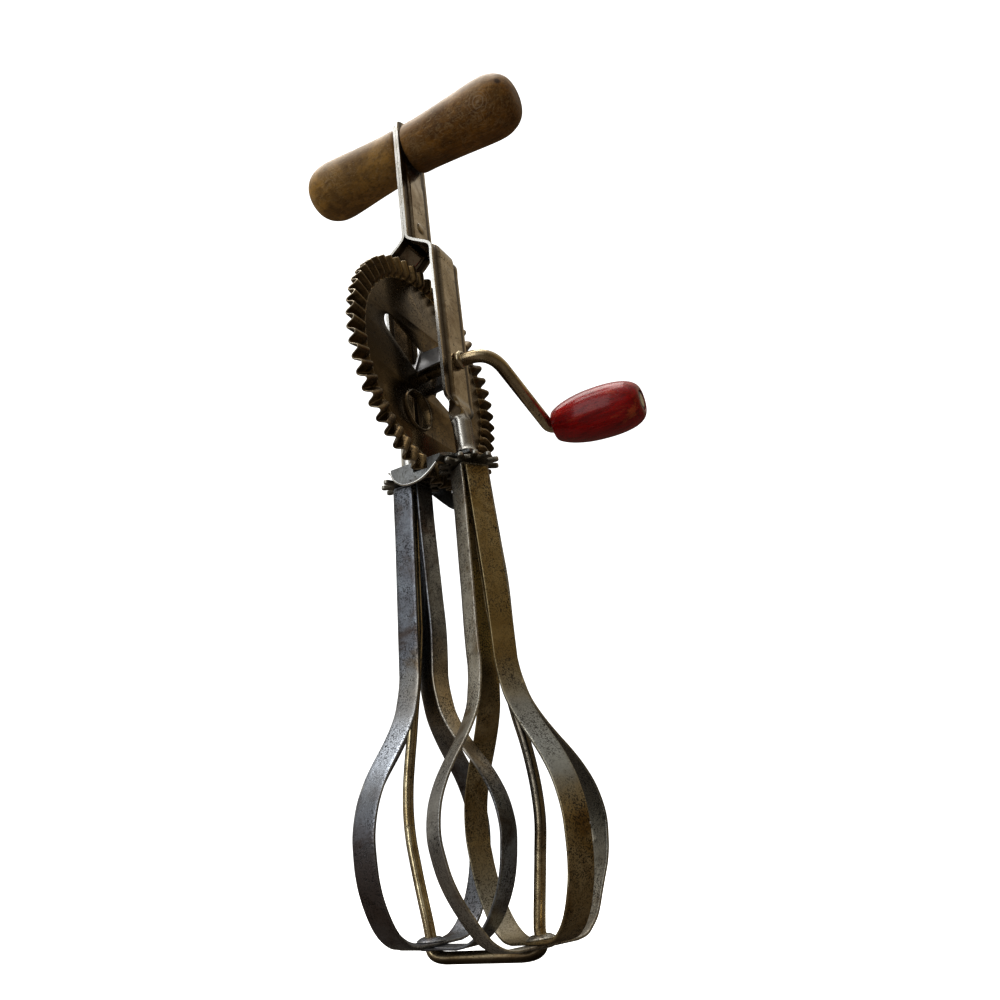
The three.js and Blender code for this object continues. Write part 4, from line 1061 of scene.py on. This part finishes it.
for name, side, angle, paint in (("left", -1, -4, left_steel), ("right", 1, 59, right_steel)):
    body = name + "_dasher"
    drop = FOOT_DROP[name]
    piece(name + "_pinion_fine", pinion(side), pinion_steel, body, name + "_pinion", sharp=30)
    for layer, which in enumerate(("outer", "inner")):
        node = name + "_loop_" + which
        # The right dasher's inner loop takes the golden steel, partly tarnish and partly painted reflection.
        skin_paint = golden_steel if node == "right_loop_inner" else paint
        piece(node + "_fine", settled(loop(name, side, layer, angle), drop), skin_paint, body, node, sharp=60)
    piece(name + "_eyelet_fine", settled(eyelet(side), drop), paint, body, name + "_eyelet")

# ---- wire frame ----

WIRE_RADIUS = 1.55
LEG_TOP = 152
BOW = 5.6
# Shares of the pinions' height and of BOW, by which each leg bows outward.
LEFT_BOW = [(0.66, 0), (0.6, 0.12), (0.54, 0.30), (0.49, 0.48), (0.43, 0.68), (0.385, 0.85), (0.335, 1.0),
            (0.285, 1.04), (0.235, 0.94), (0.18, 0.68), (0.125, 0.38), (0.08, 0.12), (0.055, 0)]
RIGHT_BOW = [(0.66, 0), (0.6, 0.10), (0.54, 0.23), (0.49, 0.36), (0.43, 0.56), (0.385, 0.76), (0.335, 0.90),
             (0.285, 0.95), (0.235, 0.88), (0.18, 0.62), (0.125, 0.34), (0.08, 0.11), (0.055, 0)]


def wire_leg(bows):
    leg = smooth_curve([(dasher_x(s * PINION_Z) + b * BOW, 0, s * PINION_Z) for s, b in bows], 80)
    return [Vector((dasher_x(LEG_TOP), 0, LEG_TOP))] + leg


def foot_bend(side, height):
    """From the leg's foot to the level wire between the feet."""
    corner = Vector((side * dasher_x(height), 0, height))
    start = corner + Vector((side * -0.1, 0, 2.7))
    end = corner - Vector((side * 6.4, 0, 0))
    return rounded(start, corner, end, 24)


right_wire = wire_leg(RIGHT_BOW) + foot_bend(1, 1.9)
left_wire = [Vector((-p.x, 0, p.z)) for p in wire_leg(LEFT_BOW)] + foot_bend(-1, 2.5)
wire_shape = tube(dense(right_wire + left_wire[::-1], 3), WIRE_RADIUS, 28)
piece("wire_frame_fine", wire_shape, wire_steel, "frame", "wire_frame")

# ---- rolled edge of the yoke's near skirt ----

SKIRT_START = -12.6
SKIRT_WIDTH = 26
SKIRT_FACE = -10.55
SKIRT_TOP = 141.5
SKIRT_DROP = 9
EDGE_RADIUS = 0.47
# Shares of the skirt's width and drop along its lower edge.
SKIRT = [(0.03, 0.34), (0.05, 0.36), (0.1, 0.66), (0.2, 0.92), (0.32, 1), (0.46, 0.96), (0.6, 0.76),
         (0.7, 0.54)]
skirt_edge = smooth_curve(
    [(SKIRT_START + SKIRT_WIDTH * a, SKIRT_FACE, SKIRT_TOP - SKIRT_DROP * h) for a, h in SKIRT], 60)
piece("yoke_edge", tube(skirt_edge, EDGE_RADIUS, 12), edge_steel, "frame")

# ---- CAD nodes that stay ----

for kept, paint in (("yoke", yoke_steel), ("handle_rod", frame_steel)):
    for material_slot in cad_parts[kept].material_slots:
        material_slot.material = paint

# ---- stage, light and camera ----

scene = bpy.context.scene
scene.view_settings.view_transform = "Standard"
scene.view_settings.exposure = 0.45
scene.view_settings.gamma = 0.85


FLOOR_GAP = 0.0024
FLOOR_HALF = 6


def toward(azimuth, elevation):
    """The direction of a place in the sky, in degrees."""
    a, e = math.radians(azimuth), math.radians(elevation)
    return Vector((math.cos(e) * math.cos(a), math.cos(e) * math.sin(a), math.sin(e)))


def lay_floor():
    """A pale, glowing floor to the camera, and a dim one to the metal that mirrors it."""
    mesh = bpy.data.meshes.new("floor")
    z = cad_box[0][2] - FLOOR_GAP
    half = FLOOR_HALF
    corners = [(-half, -half, z), (half, -half, z), (half, half, z), (-half, half, z)]
    mesh.from_pydata(corners, [], [(0, 1, 2, 3)])
    floor = placed("floor", mesh)
    p = Paint("floor", roughness=0.9)
    p.finish(p.mix(p.noise(3, 3, 0.5), (0.88, 0.88, 0.875), (0.92, 0.92, 0.915)))
    glow = p.node("Emission", Color=p.ramp(p.vector("LENGTH", p.coords), (0.30, 0.78), (0.70, 1.0)))
    both = p.node("AddShader")
    p.link(p.shader.outputs[0], both.inputs[0])
    p.link(glow.outputs[0], both.inputs[1])
    dim = p.node("BsdfDiffuse", Color=(0.16, 0.14, 0.12, 1))
    p.choose(p.surface, dim, both)
    mesh.materials.append(p.material)


lay_floor()

# The camera sees plain white; the metal sees a room that is dark below, brown to the right, grey to the
# left and brighter overhead.
world = bpy.data.worlds.new("studio")
scene.world = world
world.use_nodes = True
sky = Tree(world.node_tree)
gaze = sky.node("TexCoord").outputs["Generated"]
height = sky.vector("DOT_PRODUCT", gaze, (0, 0, 1))
height = sky.times(sky.calc("ADD", height, 1.0), 0.5)
room = sky.ramp(height, (0.30, (0.012, 0.010, 0.008)), (0.5, (0.035, 0.030, 0.022)),
                (0.62, (0.075, 0.066, 0.052)), (0.80, (0.17, 0.155, 0.13)), (0.97, (0.62, 0.61, 0.58)))
# Soft bright areas: azimuth, elevation, where each begins and is full as a cosine, and its colour.
LOBES = [
    (228, 8, 0.86, 0.97, (0.15, 0.17, 0.20)),
    (178, 6, 0.80, 0.97, (0.40, 0.39, 0.35)),
    (-4, 4, 0.75, 0.98, (0.11, 0.075, 0.018)),
    (50, 12, 0.80, 0.98, (0.10, 0.075, 0.038)),
    (58, 40, 0.86, 0.98, (0.16, 0.14, 0.105)),
    (270, 4, 0.76, 0.97, (0.30, 0.30, 0.29)),
]
for azimuth, elevation, edge, core, color in LOBES:
    facing = sky.vector("DOT_PRODUCT", gaze, tuple(toward(azimuth, elevation)))
    room = sky.vector("ADD", room, sky.ramp(facing, (edge, (0, 0, 0)), (core, color)))
plain = sky.node("Background", Color=(1, 1, 1, 1))
dark = sky.node("Background", Color=room)
sky.choose(sky.node("OutputWorld").inputs["Surface"], dark, plain)

AIM = Vector((0, 0, -0.1))


def softbox(name, azimuth, elevation, distance, size, radiance, color):
    light = bpy.data.lights.new(name, "AREA")
    light.shape = "RECTANGLE"
    light.size, light.size_y = size
    light.energy = radiance * math.pi * size[0] * size[1]
    light.color = color
    lamp = placed(name, light)
    lamp.location = AIM + toward(azimuth, elevation) * distance
    lamp.rotation_euler = (-toward(azimuth, elevation)).to_track_quat("-Z", "Y").to_euler()


softbox("top_box", 200, 80, 0.9, (0.75, 0.75), 2.5, (1.0, 0.98, 0.95))
softbox("window", 256, 10, 0.95, (0.58, 1.2), 1.05, (0.95, 0.98, 1.0))

# The photo's camera, fitted as a pinhole: place in millimetres, angles in radians, focal length in pixels.
CAMERA_PLACE = (126.661, -207.991, 25.423)
YAW, PITCH, ROLL = 2.04408659, 0.39463645, -0.12402015
FOCAL_PIXELS = 846.765
PICTURE_PIXELS = 1000
SENSOR = 36

camera_data = bpy.data.cameras.new("camera")
camera_data.sensor_width = SENSOR
camera_data.lens = FOCAL_PIXELS * SENSOR / PICTURE_PIXELS
camera_data.clip_start = 0.01
camera = placed("camera", camera_data)
ahead = Vector((math.cos(PITCH) * math.cos(YAW), math.cos(PITCH) * math.sin(YAW), math.sin(PITCH)))
across = Vector((math.sin(YAW), -math.cos(YAW), 0))
up = across.cross(ahead)
right = across * math.cos(ROLL) + up * math.sin(ROLL)
up = up * math.cos(ROLL) - across * math.sin(ROLL)
facing_turn = Matrix((right, up, -ahead)).transposed().to_4x4()
camera.matrix_world = Matrix.Translation(metres(CAMERA_PLACE)) @ facing_turn
scene.camera = camera
